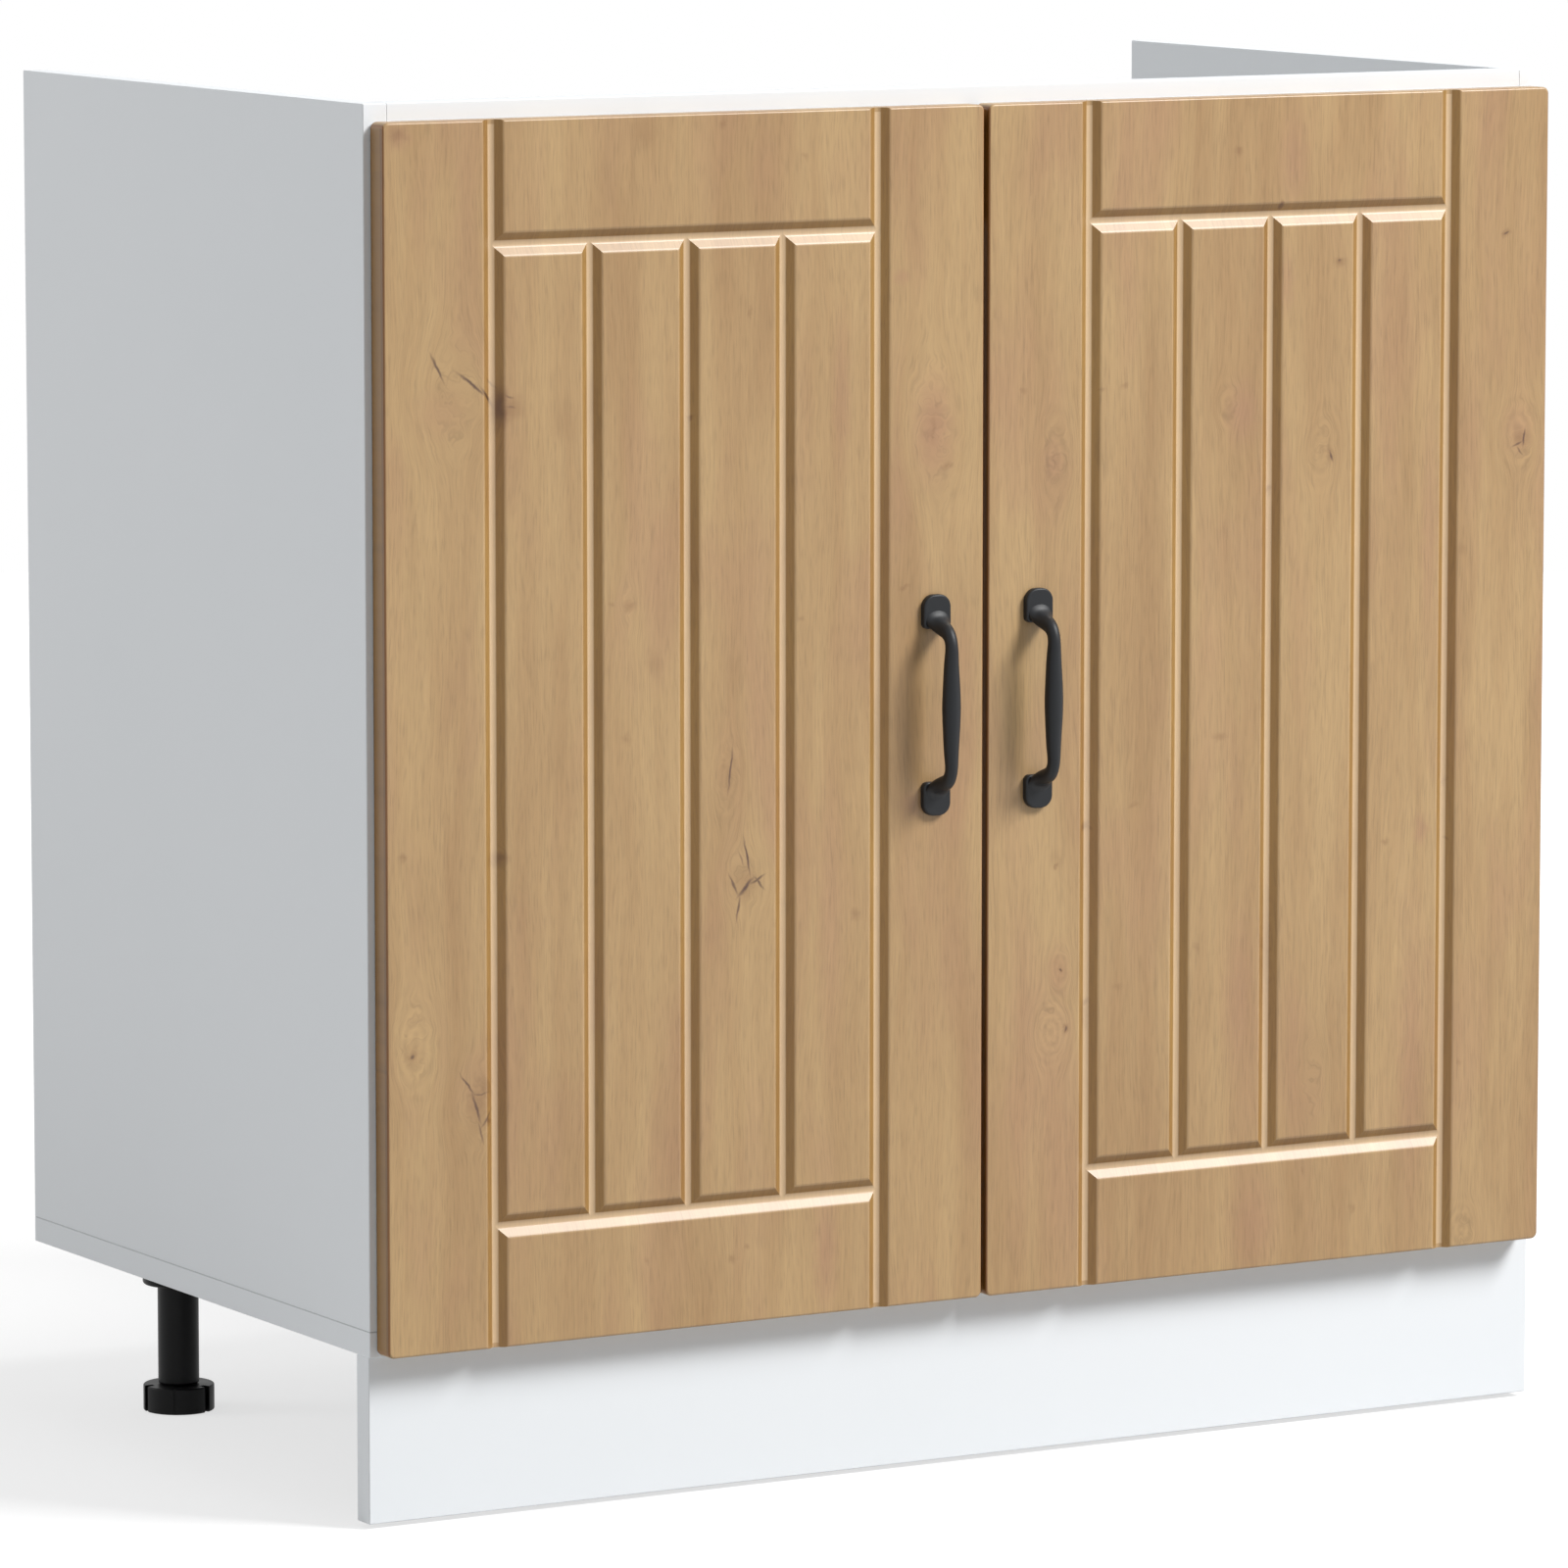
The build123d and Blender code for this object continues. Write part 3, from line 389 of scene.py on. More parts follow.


# %% [markdown]
# Along the bottom of the grooves a slightly paler colour is painted in as a highlight, the bright
# strip that the light draws on the lowest part of the slopes. This too follows the depth. The
# door's own edges reach that depth as well, so a margin all round the door is left as it is.

# %% Oak foil: painted highlight at the bottom of the grooves
highlight_strength, highlight_from, highlight_to = 0.38, 0.8, 0.9


def painted_groove_highlight(tree, sides, colour, low, high):
    """The print with a paler painted highlight in the deepest part of the grooves, but not on the
    door's own edges.
    """
    # painted highlight: its share grows with the depth near the bottom of the grooves
    drawn = add_node(tree, "MapRange", {
        "Value": sides.outputs["Y"], "From Min": low.y + highlight_from * groove_depth * MM,
        "From Max": low.y + highlight_to * groove_depth * MM, "To Max": highlight_strength})
    for side, start, end in (("X", low.x, high.x), ("Z", low.z, high.z)):
        distance = off_centre(tree, sides.outputs[side], start, end)
        reach = (end - start) / 2 - 2 * edge_round * MM
        inside = add_node(tree, "Math", {0: distance, 1: reach}, operation="LESS_THAN")
        drawn = add_node(tree, "Math", {0: drawn, 1: inside}, operation="MULTIPLY")
    # the painted highlight colour
    return add_node(tree, "Mix", {0: drawn, 6: colour, 7: linear("#EAD0AE")},
                    data_type="RGBA").outputs[2]


# %% [markdown]
# The print runs from a darker to a lighter tan in bands along the grain, with a pink cast in
# patches, as real oak has where the sap stood. Streaks and the finer fibres are read as
# lightness and multiplied in, so that they show alike on every band. Widths and lengths are in
# millimetres. Real fibres are finer still. These are as coarse as they have to be to show.

# %% Oak foil: bands, streaks and fibres
band_width, band_length = 30, 300
band_colours = (0.32, "#A9875E"), (0.62, "#B9996D")
blush_width, blush_length = 42, 150
blush_from, blush_to, blush_most = 0.5, 0.72, 0.5
streak_width, streak_length, streak_dark, streak_light = 1.6, 42, 0.92, 1.05
fibre_width, fibre_length, fibre_dark = 0.9, 13, 0.86
ring_strength = 0.06


def banded(tree, grain, blushed):
    """Tan bands along the grain, pinker in soft patches and where blushed says so."""
    bands = ramped(tree, stretched(tree, grain, band_width, band_length, 3, 0.6), 0, 1,
                   *band_colours)
    pink = add_node(tree, "MapRange", {
        "Value": stretched(tree, grain, blush_width, blush_length, 2),
        "From Min": blush_from, "From Max": blush_to, "To Max": blush_most})
    pink = add_node(tree, "Math", {0: pink, 1: blushed}, operation="MAXIMUM")
    return add_node(tree, "Mix", {0: pink, 6: bands, 7: linear("#AA8263")},
                    data_type="RGBA").outputs[2]


def streaked(tree, grain, rings):
    """How light the print is at a point of the grain, and the fibres alone."""
    light = add_node(tree, "MapRange", {
        "Value": stretched(tree, grain, streak_width, streak_length, 3), "From Min": 0.3,
        "From Max": 0.7, "To Min": streak_dark, "To Max": streak_light})
    fibres = add_node(tree, "MapRange", {
        "Value": stretched(tree, grain, fibre_width, fibre_length, 1), "From Min": 0.28,
        "From Max": 0.5, "To Min": fibre_dark, "To Max": 1})
    light = add_node(tree, "Math", {0: light, 1: fibres}, operation="MULTIPLY")
    light = add_node(tree, "Math", {0: rings, 1: ring_strength, 2: light},
                     operation="MULTIPLY_ADD")
    return light, fibres


# %% [markdown]
# One function puts a door's print together: bands, streaks, stains and cracks, and the painted
# shade and highlight of the grooves, in the order in which one lies over the other. The back of the
# doors is plain white, as on most doors made this way.

# %% Oak foil: a whole door
stain_fray, crack_fray, crack_core = 8, 2.5, 0.1
back_skin, fibre_relief = 0.1, 0.05


def oak_foil(name, door, shift, eyes, stains, blushes, cracks):
    """One door's print, with its knots, dark stains, pink blushes and thin cracks."""
    low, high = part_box(door)
    print(name, "covers", round((high.x - low.x) / MM), "x", round((high.z - low.z) / MM), "mm")
    material, tree, shader = new_material(name, IOR=1.5, Roughness=0.36)
    here = add_node(tree, "TexCoord").outputs["Object"]
    place = add_node(tree, "VectorMath", {0: here, 1: (1, 0, 1)}, operation="MULTIPLY")
    grain, rings = bent_grain(tree, place, shift, eyes)
    ragged = frayed(tree, place, stain_fray)
    colour = banded(tree, grain, marked(tree, ragged, blushes, 0))
    light, fibres = streaked(tree, grain, rings)
    colour = add_node(tree, "VectorMath", {0: colour, "Scale": light}, operation="SCALE").outputs[0]
    stained = marked(tree, ragged, stains, 0)
    cracked = marked(tree, frayed(tree, place, crack_fray), cracks, crack_core)
    for amount, mark in ((stained, "#7A5638"), (cracked, "#4E3530")):
        colour = add_node(tree, "Mix", {0: amount, 6: colour, 7: linear(mark)},
                          data_type="RGBA").outputs[2]
    sides = add_node(tree, "SeparateXYZ", {0: here})
    colour = painted_groove_shade(tree, sides, colour, low, high)
    colour = painted_groove_highlight(tree, sides, colour, low, high)
    at_back = add_node(tree, "Math", {0: sides.outputs["Y"], 1: high.y - back_skin * MM},
                       operation="GREATER_THAN")
    colour = add_node(tree, "Mix", {0: at_back, 6: colour, 7: linear("#EFEFEC")},
                      data_type="RGBA")
    tree.links.new(colour.outputs[2], shader.inputs["Base Color"])
    relief = add_node(tree, "Bump", {
        "Height": fibres, "Strength": 0.2, "Distance": fibre_relief * MM})
    tree.links.new(relief.outputs[0], shader.inputs["Normal"])
    return material


# %% [markdown]
# Each knot is placed one by one, in millimetres across and up the cabinet. The cracks are ovals
# too, thin and long. The print of the left door shows an eye with a split in its middle, a knot
# that one groove cuts through, and two more near its lower left corner.

# %% The left door's print
oak_left = oak_foil(
    "oak_foil_left", "door_left", 3.1,
    eyes=[(-350, 650, 44, 62, 0, 1.1, 0), (-173, 420, 17, 42, 4, 1.3, 4),
          (-163, 362, 24, 34, 0, 1.2, 0), (-378, 282, 26, 52, 0, 1.2, 5),
          (-338, 242, 30, 44, 10, 1.1, 0), (-34, 618, 34, 80, -4, 1.3, 0),
          (-239, 525, 12, 24, 0, 0.8, 0), (-323, 384, 14, 26, 0, 0.8, 0)],
    stains=[(-387, 798, 9, 8, 0, 0.45), (-228, 794, 13, 10, 30, 0.22), (-176, 799, 3, 5, 0, 0.35),
            (-122, 778, 3, 3, 0, 0.3), (-322, 642, 9, 20, 0, 0.95), (-316, 641, 15, 12, 0, 0.4),
            (-281, 632, 14, 18, 0, 0.18), (-262, 640, 6, 30, 0, 0.25), (-197, 631, 3, 4, 0, 0.7),
            (-378, 560, 7, 60, 0, 0.14), (-238, 525, 7, 5, 0, 0.4), (-250, 526, 3, 3, 0, 0.3),
            (-222, 490, 9, 15, -20, 0.2), (-168, 480, 8, 22, 0, 0.16),
            (-56, 526, 6, 2.5, -15, 0.4), (-36, 617, 2.5, 12, 0, 0.25), (-27, 596, 6, 4, -20, 0.4),
            (-125, 512, 3, 3, 0, 0.3), (-158, 690, 2, 6, 0, 0.3), (-386, 389, 4, 4, 0, 0.4),
            (-323, 384, 9, 6, 0, 0.55), (-380, 275, 5, 5, 0, 0.5), (-380, 275, 11, 14, 0, 0.22),
            (-337, 244, 12, 26, 10, 0.35), (-331, 233, 4, 4, 0, 0.8), (-173, 423, 9, 20, 4, 0.2),
            (-163, 360, 15, 16, 0, 0.28), (-88, 336, 5, 5, 0, 0.35), (-241, 448, 5, 5, 0, 0.3),
            (-171, 140, 4, 4, 20, 0.35), (-161, 146, 3, 3, 0, 0.3), (-228, 143, 3, 4, 0, 0.3)],
    blushes=[(-36, 618, 22, 48, 0, 0.8), (-57, 707, 9, 7, 0, 0.5), (-98, 640, 10, 70, 0, 0.5),
             (-50, 398, 12, 12, 0, 0.6), (-108, 140, 12, 60, 0, 0.7), (-105, 340, 14, 130, 0, 0.5),
             (-386, 797, 12, 12, 0, 0.6), (-360, 640, 26, 22, 0, 0.3)],
    cracks=[(-362, 666, 1.3, 13, -27, 0.85), (-340, 656, 1.5, 17, -52, 0.9),
            (-329, 648, 1.6, 11, -40, 0.9), (-326, 656, 1.2, 6, -50, 0.6),
            (-321, 642, 3, 12, 0, 0.25), (-316, 648, 1.2, 4, -70, 0.5),
            (-315, 642, 1, 4, -80, 0.4), (-172, 426, 1, 19, 7, 0.8),
            (-161, 375, 1.2, 16, -11, 0.9), (-162, 357, 1.7, 11, 44, 0.9),
            (-170, 359, 1.2, 10, -26, 0.75), (-167, 345, 1.1, 11, 9, 0.8),
            (-154, 361, 1.3, 8, 62, 0.8), (-153, 359, 1.2, 8, -40, 0.75),
            (-165, 374, 0.9, 7, -20, 0.45), (-380, 275, 1.6, 2, 30, 0.7),
            (-345, 256, 1.1, 11, -36, 0.8), (-336, 250, 0.9, 9, 86, 0.5),
            (-339, 242, 1.5, 13, -18, 0.8), (-336, 227, 1.1, 9, -14, 0.6),
            (-332, 235, 1.2, 9, 40, 0.6)])
dress(oak_left, "door_left")

# %% [markdown]
# The right door is quieter: two knots with rings beside the handle, a knot near its right edge,
# and small dark spots where a groove runs through a bud.

# %% The right door's print
oak_right = oak_foil(
    "oak_foil_right", "door_right", 8.7,
    eyes=[(376, 596, 26, 40, 0, 1.2, 4), (168, 624, 16, 24, 0, 1.1, 3),
          (234, 592, 20, 36, 8, 1.1, 4), (52, 294, 13, 24, 0, 1.2, 4),
          (46, 256, 24, 34, 0, 1.2, 6), (48, 598, 20, 50, 0, 1.1, 4), (72, 377, 12, 24, 0, 0.8, 0),
          (340, 112, 20, 26, 0, 1.1, 4), (230, 215, 18, 60, 0, 1.0, 0)],
    stains=[(174, 773, 5, 4, 10, 0.45), (205, 740, 3, 3, 0, 0.9), (246, 705, 7, 5, 0, 0.5),
            (366, 718, 4.5, 3, -30, 0.5), (240, 590, 5, 8, -20, 0.35), (199, 571, 3, 5, 0, 0.9),
            (378, 593, 10, 10, 0, 0.35), (336, 528, 5, 6, 0, 0.25), (80, 635, 3, 2.5, -40, 0.3),
            (95, 637, 5, 2.5, -20, 0.3), (26, 637, 3, 2, 0, 0.25), (163, 425, 9, 4, 5, 0.35),
            (102, 388, 5, 2.5, -30, 0.3), (71, 377, 6, 4, 0, 0.85), (49, 360, 8, 8, 0, 0.16),
            (49, 356, 2, 2, 0, 0.5), (52, 293, 2, 2, 0, 0.8), (52, 293, 9, 12, 0, 0.16),
            (56, 257, 3.5, 5, 20, 0.5), (72, 272, 4, 4, 0, 0.9), (72, 264, 6, 14, 0, 0.35),
            (92, 280, 7, 4, 0, 0.25), (147, 299, 3, 6, 0, 0.25), (282, 354, 4, 3, 0, 0.4),
            (327, 353, 3, 2.5, 0, 0.6), (326, 388, 3, 5, 0, 0.4), (198, 290, 6, 66, 0, 0.5),
            (224, 157, 2, 4, 0, 0.3), (260, 132, 3, 4, 0, 0.3), (337, 215, 3, 3, 0, 0.25)],
    blushes=[(178, 618, 18, 30, 0, 0.7), (46, 594, 16, 28, 0, 0.6), (208, 695, 9, 30, 0, 0.5),
             (213, 768, 16, 46, 0, 0.6), (312, 540, 10, 110, 0, 0.5), (307, 360, 9, 14, 0, 0.6),
             (178, 265, 18, 80, 0, 0.6), (302, 220, 16, 130, 0, 0.6), (190, 130, 28, 50, 0, 0.6),
             (48, 225, 16, 34, 0, 0.5), (376, 600, 18, 26, 0, 0.5), (50, 290, 14, 28, 0, 0.5)],
    cracks=[(380, 594, 1.1, 8, 6, 0.85), (375, 590, 1.1, 6, 66, 0.7), (377, 586, 1, 5, -40, 0.6),
            (241, 589, 1.3, 5, -24, 0.8), (52, 293, 0.9, 1.4, 0, 0.9), (56, 257, 1.1, 3, 20, 0.7),
            (246, 706, 2, 1.2, 0, 0.6), (366, 718, 0.9, 3, 66, 0.7)])
dress(oak_right, "door_right")

# %% [markdown]
# ## Black powder coat
# The bow handles are cast zinc alloy with a black powder coat: a dry powder sprayed on and
# baked, which leaves a satin skin with the faintest orange peel, about 1.5 mm across. The eye
# sees a soft highlight along the grip. Roughness alone would make that highlight too even, so a
# noise as wide as the peel breaks it up in a bump. The peel is far too shallow to be modelled.

# %% Black powder coat
peel_width, peel_height = 1.5, 0.1

powder, tree, shader = new_material("black_powder_coat", Base_Color=linear("#1B1D20"),
                                    Roughness=0.45, IOR=1.5, Specular_IOR_Level=0.3)
place = add_node(tree, "TexCoord").outputs["Object"]
peel = add_node(tree, "TexNoise", {
    "Vector": place, "Scale": 1 / (peel_width * MM), "Detail": 2})
relief = add_node(tree, "Bump", {"Height": peel, "Strength": 0.12, "Distance": peel_height * MM})
tree.links.new(relief.outputs[0], shader.inputs["Normal"])
dress(powder, "handle_left", "handle_right")

# %% [markdown]
# ## Black moulded plastic
# Legs and plinth clips are injection-moulded plastic. The mould's spark-eroded steel gives them
# a fine matt grain of about 0.4 mm, and handling leaves it unevenly dull. The grain is a bump
# and the dulling is a slow change of roughness, because a worn patch has the same colour and
# only reflects less.

# %% Black moulded plastic
spark_width, spark_height, worn_width = 0.4, 0.05, 14

plastic, tree, shader = new_material("black_moulded_plastic", Base_Color=linear("#0D0D0E"),
                                     IOR=1.49, Specular_IOR_Level=0.16)
place = add_node(tree, "TexCoord").outputs["Object"]
spark = add_node(tree, "TexNoise", {
    "Vector": place, "Scale": 1 / (spark_width * MM), "Detail": 2})
dull = add_node(tree, "TexNoise", {"Vector": place, "Scale": 1 / (worn_width * MM), "Detail": 2})
gloss = add_node(tree, "MapRange", {"Value": dull, "To Min": 0.34, "To Max": 0.5})
tree.links.new(gloss.outputs[0], shader.inputs["Roughness"])
relief = add_node(tree, "Bump", {
    "Height": spark, "Strength": 0.1, "Distance": spark_height * MM})
tree.links.new(relief.outputs[0], shader.inputs["Normal"])
dress(plastic, *named("leg_socket", "leg_tube", "leg_foot", "leg_spindle"), "plinth_clips")

# %% [markdown]
# ## Nickel-plated steel
# The hinges are pressed steel, nickel-plated: a slightly warm, bright metal with faint rolling
# lines from the sheet. Real lines are a few hundredths of a millimetre wide. They are drawn
# 0.3 mm wide here, so that they show, and only vary the roughness, as rolled metal does.

# %% Nickel-plated steel
line_length, line_width = 6, 0.3

nickel, tree, shader = new_material("nickel_plated_steel", Base_Color=linear("#C9C5BC"),
                                    Metallic=1.0)
place = add_node(tree, "TexCoord").outputs["Object"]
rolled = add_node(tree, "Mapping", {
    "Vector": place,
    "Scale": (1 / (line_length * MM), 1 / (line_length * MM), 1 / (line_width * MM))})
lines = add_node(tree, "TexNoise", {"Vector": rolled, "Scale": 1, "Detail": 2})
gloss = add_node(tree, "MapRange", {"Value": lines, "To Min": 0.2, "To Max": 0.36})
tree.links.new(gloss.outputs[0], shader.inputs["Roughness"])
dress(nickel, *named("hinge_plates", "hinge_arm", "hinge_cup_left", "hinge_cup_right",
                     "outer_links", "inner_links", "hinge_cup_pins"))

# %% [markdown]
# ## Zinc-plated steel
# Screws and cam locks are zinc-plated, cooler and duller than nickel, with cloudy patches where
# the plating took up the last bath. One noise mixes two greys, which is all that such small
# pieces need.

# %% Zinc-plated steel
cloud_width = 3

zinc, tree, shader = new_material("zinc_plated_steel", Metallic=1.0, Roughness=0.36)
place = add_node(tree, "TexCoord").outputs["Object"]
cloudy = add_node(tree, "TexNoise", {
    "Vector": place, "Scale": 1 / (cloud_width * MM), "Detail": 3})
tint = add_node(tree, "Mix", {0: cloudy, 6: linear("#A9ADB2"), 7: linear("#C9CDD0")},
                data_type="RGBA")
tree.links.new(tint.outputs[2], shader.inputs["Base Color"])
dress(zinc, "cam_bolts")

# %% [markdown]
# ## Cross recesses
# Every screw and cam lock has a cross in its head, pressed in cold by a tapered punch. The exact
# model has flat heads. A bump could fake the cross, but real walls catch the light as a bump
# can't, and a boolean cut leaves more to clean up. So each group of fasteners is copied, the
# flat top of every head is taken off, and a new top with a cross cut out, four tapering arms
# and a floor closes it again.


# %% Cross recesses: outline and loose parts
def cross(reach, half_width):
    """The twelve corners of a cross, in turn."""
    arm = [(reach, -half_width), (reach, half_width), (half_width, half_width)]
    return [(x * cos(turn) - y * sin(turn), x * sin(turn) + y * cos(turn))
            for turn in (0, tau / 4, tau / 2, 3 * tau / 4) for x, y in arm]


def loose_parts(shape):
    """The separate solids of a bmesh, each as a list of its points."""
    seen, parts = set(), []
    for start in shape.verts:
        if start in seen:
            continue
        seen.add(start)
        part = [start]
        for point in part:
            for edge in point.link_edges:
                other = edge.other_vert(point)
                if other not in seen:
                    seen.add(other)
                    part.append(other)
        parts.append(part)
    return parts


# %% [markdown]
# The punch works on one fastener. It finds the flat face at the very end, lays the cross on it,
# and lays a smaller cross at the bottom of the recess. Walls join the two, and triangles fill
# the ring between the upper cross and the rim of the head.

# %% Cross recesses: one head
ACROSS, DEEP, UP = 0, 1, 2
punch_taper, flat_within = 0.6, 0.01


def punch(shape, part, axis, outward, reach, half_width, depth):
    """Gives one fastener a cross recess in the flat face that looks outward. Lengths in mm."""
    top = max(point.co.dot(outward) for point in part)
    rim = [point for point in part if point.co.dot(outward) > top - flat_within * MM]
    hub = sum((point.co for point in rim), Vector()) / len(rim)
    flat = []
    for point in rim:
        flat += [face for face in point.link_faces
                 if face not in flat and all(corner in rim for corner in face.verts)]
    border = [edge for face in flat for edge in face.edges
              if not all(beside in flat for beside in edge.link_faces)]
    side = Vector([axis == DEEP, axis == UP, axis == ACROSS])
    up = outward.cross(side)
    corners = [side * x + up * y for x, y in cross(reach, half_width)]
    upper = [shape.verts.new(hub + corner * MM) for corner in corners]
    lower = [shape.verts.new(hub + (corner * punch_taper - outward * depth) * MM)
             for corner in corners]
    for i in range(len(corners)):
        shape.faces.new((upper[i - 1], upper[i], lower[i], lower[i - 1]))
    bmesh.ops.triangulate(shape, faces=[shape.faces.new(lower)])
    bmesh.ops.delete(shape, geom=flat, context="FACES")
    outline = [shape.edges.get((upper[i - 1], upper[i])) for i in range(len(corners))]
    bmesh.ops.triangle_fill(shape, use_beauty=True, edges=border + outline)


# %% [markdown]
# A whole group of fasteners is one piece of the exact model. The copy rides on the same body
# and takes its place. Most heads look towards the middle of the cabinet, where the screwdriver
# reaches them. Those under the bottom panel look away from it.

# %% Cross recesses: a group of fasteners
weld_within, crease_angle = 0.001, 30


def punched(node, axis, reach, half_width, depth, towards_middle=True):
    """A copy of a group of fasteners, each with a cross in the end that looks along an axis."""
    shape = bmesh.new()
    shape.from_mesh(frame["nodes"][node].data)
    bmesh.ops.remove_doubles(shape, verts=shape.verts, dist=weld_within * MM)
    parts = loose_parts(shape)
    for part in parts:
        centre = sum((point.co for point in part), Vector()) / len(part)
        inward = 1 if centre[axis] < middle[axis] else -1
        outward = Vector([axis == ACROSS, axis == DEEP, axis == UP]) * inward
        punch(shape, part, axis, outward if towards_middle else -outward, reach, half_width, depth)
    bmesh.ops.recalc_face_normals(shape, faces=shape.faces)
    mesh = bpy.data.meshes.new(node + "_punched")
    shape.to_mesh(mesh)
    shape.free()
    mesh.polygons.foreach_set("use_smooth", [True] * len(mesh.polygons))
    mesh.set_sharp_from_angle(angle=radians(crease_angle))
    mesh.materials.append(zinc)
    piece = bpy.data.objects.new(node + "_punched", mesh)
    bpy.context.scene.collection.objects.link(piece)
    bodies = frame["record"]["behaviour"]["bodies"]
    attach(piece, next(body for body, nodes in bodies.items() if node in nodes))
    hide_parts(node)
    print(node, "has", len(parts), "crosses", 2 * reach, "mm wide")


# %% [markdown]
# Each cross is given by its reach from the middle, half the width of an arm and its depth, in
# millimetres. They are the usual sizes for wood screws, handle screws, cam locks and the long
# screws that hold the bottom panel.

# %% Cross recesses: all heads
wood_screw_cross = (1.9, 0.45, 1.3)
handle_screw_cross = (2.2, 0.5, 1.5)
cam_lock_cross = (3.2, 0.9, 2.5)
long_screw_cross = (2.6, 0.6, 2.0)

for node in named("hinge_cup_screws", "plinth_clip_screws"):
    punched(node, DEEP, *wood_screw_cross)
for node in named("hinge_plate_screws"):
    punched(node, ACROSS, *wood_screw_cross)
for node in named("handle_screws"):
    punched(node, DEEP, *handle_screw_cross)
punched("cam_locks", DEEP, *cam_lock_cross)
punched("leg_screws", UP, *wood_screw_cross, towards_middle=False)
punched("bottom_screws", UP, *long_screw_cross, towards_middle=False)

# %% [markdown]
# ## Beech dowels
# The dowels are turned beech, almost hidden in their holes, and what shows is pale wood with
# fine flecks. A noise of about the flecks' size is enough. Grain like that of the doors would
# never be seen.

# %% Beech dowels
fleck_width = 1.2

beech, tree, shader = new_material("beech_dowel", Roughness=0.6)
place = add_node(tree, "TexCoord").outputs["Object"]
fleck = add_node(tree, "TexNoise", {
    "Vector": place, "Scale": 1 / (fleck_width * MM), "Detail": 3})
tint = add_node(tree, "Mix", {0: fleck, 6: linear("#C79A6B"), 7: linear("#E0BC8E")},
                data_type="RGBA")
tree.links.new(tint.outputs[2], shader.inputs["Base Color"])
dress(beech, "carcass_dowels")

# %% [markdown]
# ## Clear bumpers
# The bumpers are soft clear polyurethane discs, cast in drops, that let the door close quietly.
# They could be plain glass, but the real ones are a little milky, so only part of the light
# goes through.

# %% Clear bumpers
clear, tree, shader = new_material("clear_polyurethane", Base_Color=linear("#EEF0EC"),
                                   Roughness=0.25, IOR=1.5, Transmission_Weight=0.6)
dress(clear, *named("door_bumpers"))

# %% [markdown]
# ## The studio
# A product photograph has white paper under and behind the object. A curved sweep of paper
# would be seen from behind in the other views, so a flat round floor in a white surrounding
# takes its place.

# %% The floor
floor_radius, floor_points = 5.0, 96

rim = [(floor_radius * cos(tau * i / floor_points), floor_radius * sin(tau * i / floor_points), 0)
       for i in range(floor_points)]
floor_mesh = bpy.data.meshes.new("floor")
floor_mesh.from_pydata(rim, [], [range(floor_points)])
floor = bpy.data.objects.new("floor", floor_mesh)
bpy.context.scene.collection.objects.link(floor)
print("floor", 2 * floor_radius, "m across")

# %% [markdown]
# The paper in the photograph is plain white, and more lamps would make it so, but they would
# bleach the cabinet too. So the floor glows for the camera alone, and for mirrors and glass,
# while the light that it throws on the cabinet stays that of grey paper. The glow leaves the
# soft shadow near the cabinet and grows towards the rim of the floor, where it meets the
# surrounding.

# %% White paper
glow_near, glow_far = 0.66, 0.9
glow_grows_from, glow_grows_to = 0.8, 0.7 * floor_radius


def seen_directly(tree):
    """1 for the camera, for mirrors and through glass, and 0 for the light on the cabinet."""
    rays = add_node(tree, "LightPath")
    mirrored = add_node(tree, "Math", {0: rays.outputs["Is Glossy Ray"],
                                       1: rays.outputs["Is Transmission Ray"]}, operation="MAXIMUM")
    return add_node(tree, "Math", {0: rays.outputs["Is Camera Ray"], 1: mirrored},
                    operation="MAXIMUM")


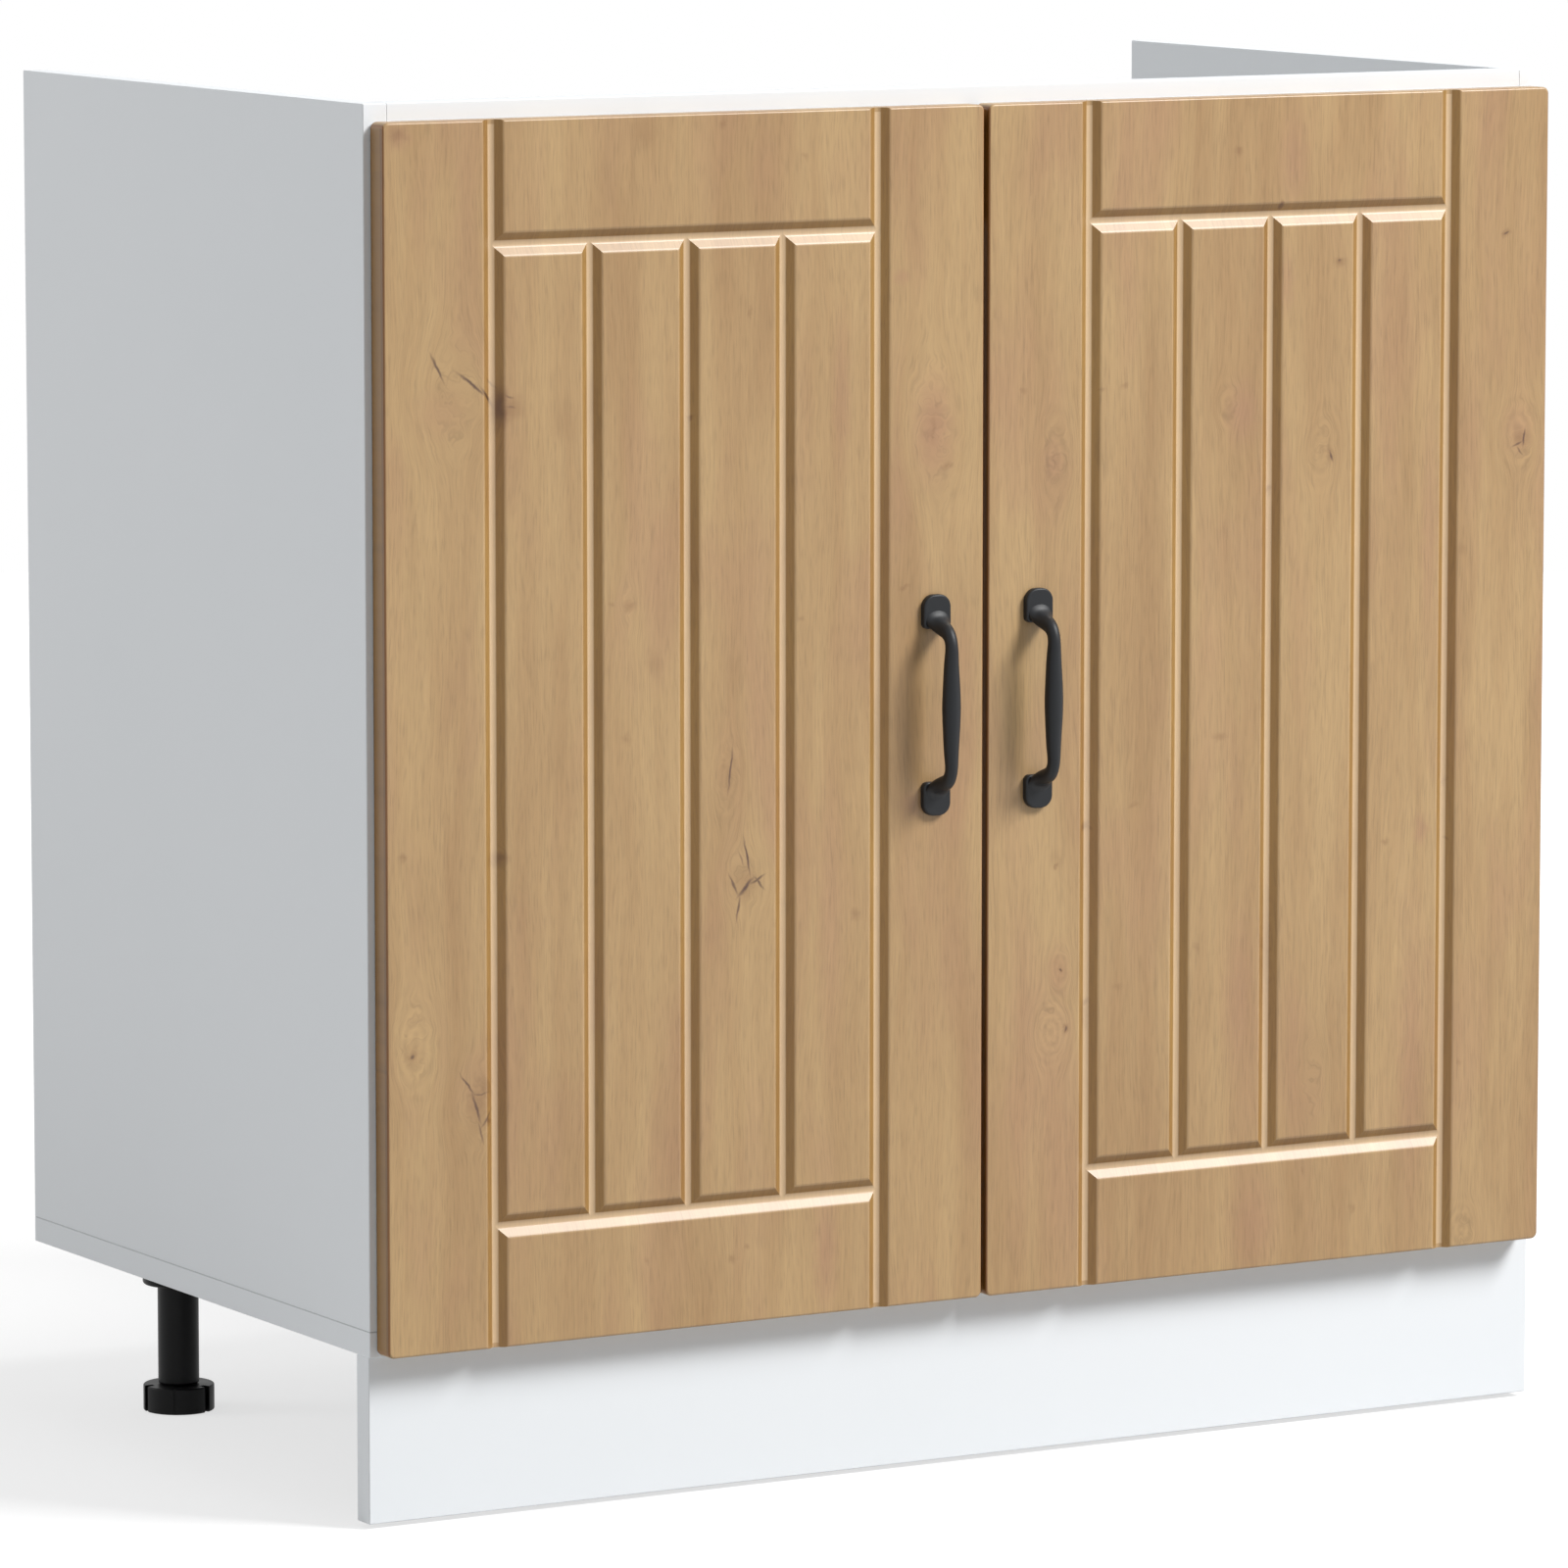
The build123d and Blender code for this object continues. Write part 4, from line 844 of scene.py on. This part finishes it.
paper, tree, shader = new_material("floor_paper", Base_Color=linear("#B4B4B4"), Roughness=0.9,
                                   Specular_IOR_Level=0.0, Emission_Color=(1, 1, 1, 1))
place = add_node(tree, "TexCoord").outputs["Object"]
away = add_node(tree, "VectorMath", {0: place}, operation="LENGTH").outputs["Value"]
whiter = add_node(tree, "MapRange", {
    "Value": away, "From Min": glow_grows_from, "From Max": glow_grows_to, "To Min": glow_near,
    "To Max": glow_far}, interpolation_type="SMOOTHSTEP")
glow = add_node(tree, "Math", {0: seen_directly(tree), 1: whiter}, operation="MULTIPLY")
tree.links.new(glow.outputs[0], shader.inputs["Emission Strength"])
floor_mesh.materials.append(paper)
print("floor glow", glow_near, "to", glow_far)

# %% [markdown]
# The surrounding does the same: white to look at, and a weak, even light on the cabinet that
# keeps its shaded sides from going black.

# %% The surrounding
room_light = 0.3

world = bpy.data.worlds.new("pale_room")
bpy.context.scene.world = world
world.use_nodes = True
tree = world.node_tree
strength = add_node(tree, "MapRange", {
    "Value": seen_directly(tree), "To Min": room_light, "To Max": 1.0})
background = tree.nodes["Background"]
tree.links.new(strength.outputs[0], background.inputs["Strength"])
background.inputs["Color"].default_value = (1, 1, 1, 1)
print("room light", room_light, "of white")

# %% [markdown]
# ## Soft lights
# Two soft lights stand far away, so that the cabinet is lit evenly from top to bottom. The main
# one is high on the right in front. It draws a bright line on the right-facing slope of each
# groove and glints in the upward slopes. A weak one behind on the left keeps the left side,
# which the main one misses, a clean light grey. Sun lamps would be as even. Square lights are
# used because they also show as broad, soft reflections in the handles and the foil, as a
# photographer's softboxes do.


# %% Soft lights
def softbox(name, place, size, watts):
    """A square light that looks at the middle of the cabinet. Place and size are in metres."""
    light = bpy.data.lights.new(name, "AREA")
    light.shape, light.size, light.energy = "SQUARE", size, watts
    box = bpy.data.objects.new(name, light)
    box.location = place
    towards = middle - Vector(place)
    box.rotation_euler = towards.to_track_quat("-Z", "Y").to_euler()
    bpy.context.scene.collection.objects.link(box)
    print(name, round(towards.length, 2), "m away,", watts, "W")


softbox("main_softbox", (4.4, -4.6, 6.0), size=3.0, watts=870)
softbox("left_back_fill", (-5.0, 2.9, 1.6), size=2.5, watts=82)

# %% [markdown]
# ## Plain colours
# Colours are shown plainly, without a film look, so that a hex value renders about as written.

# %% Plain colours
bpy.context.scene.view_settings.view_transform = "Standard"
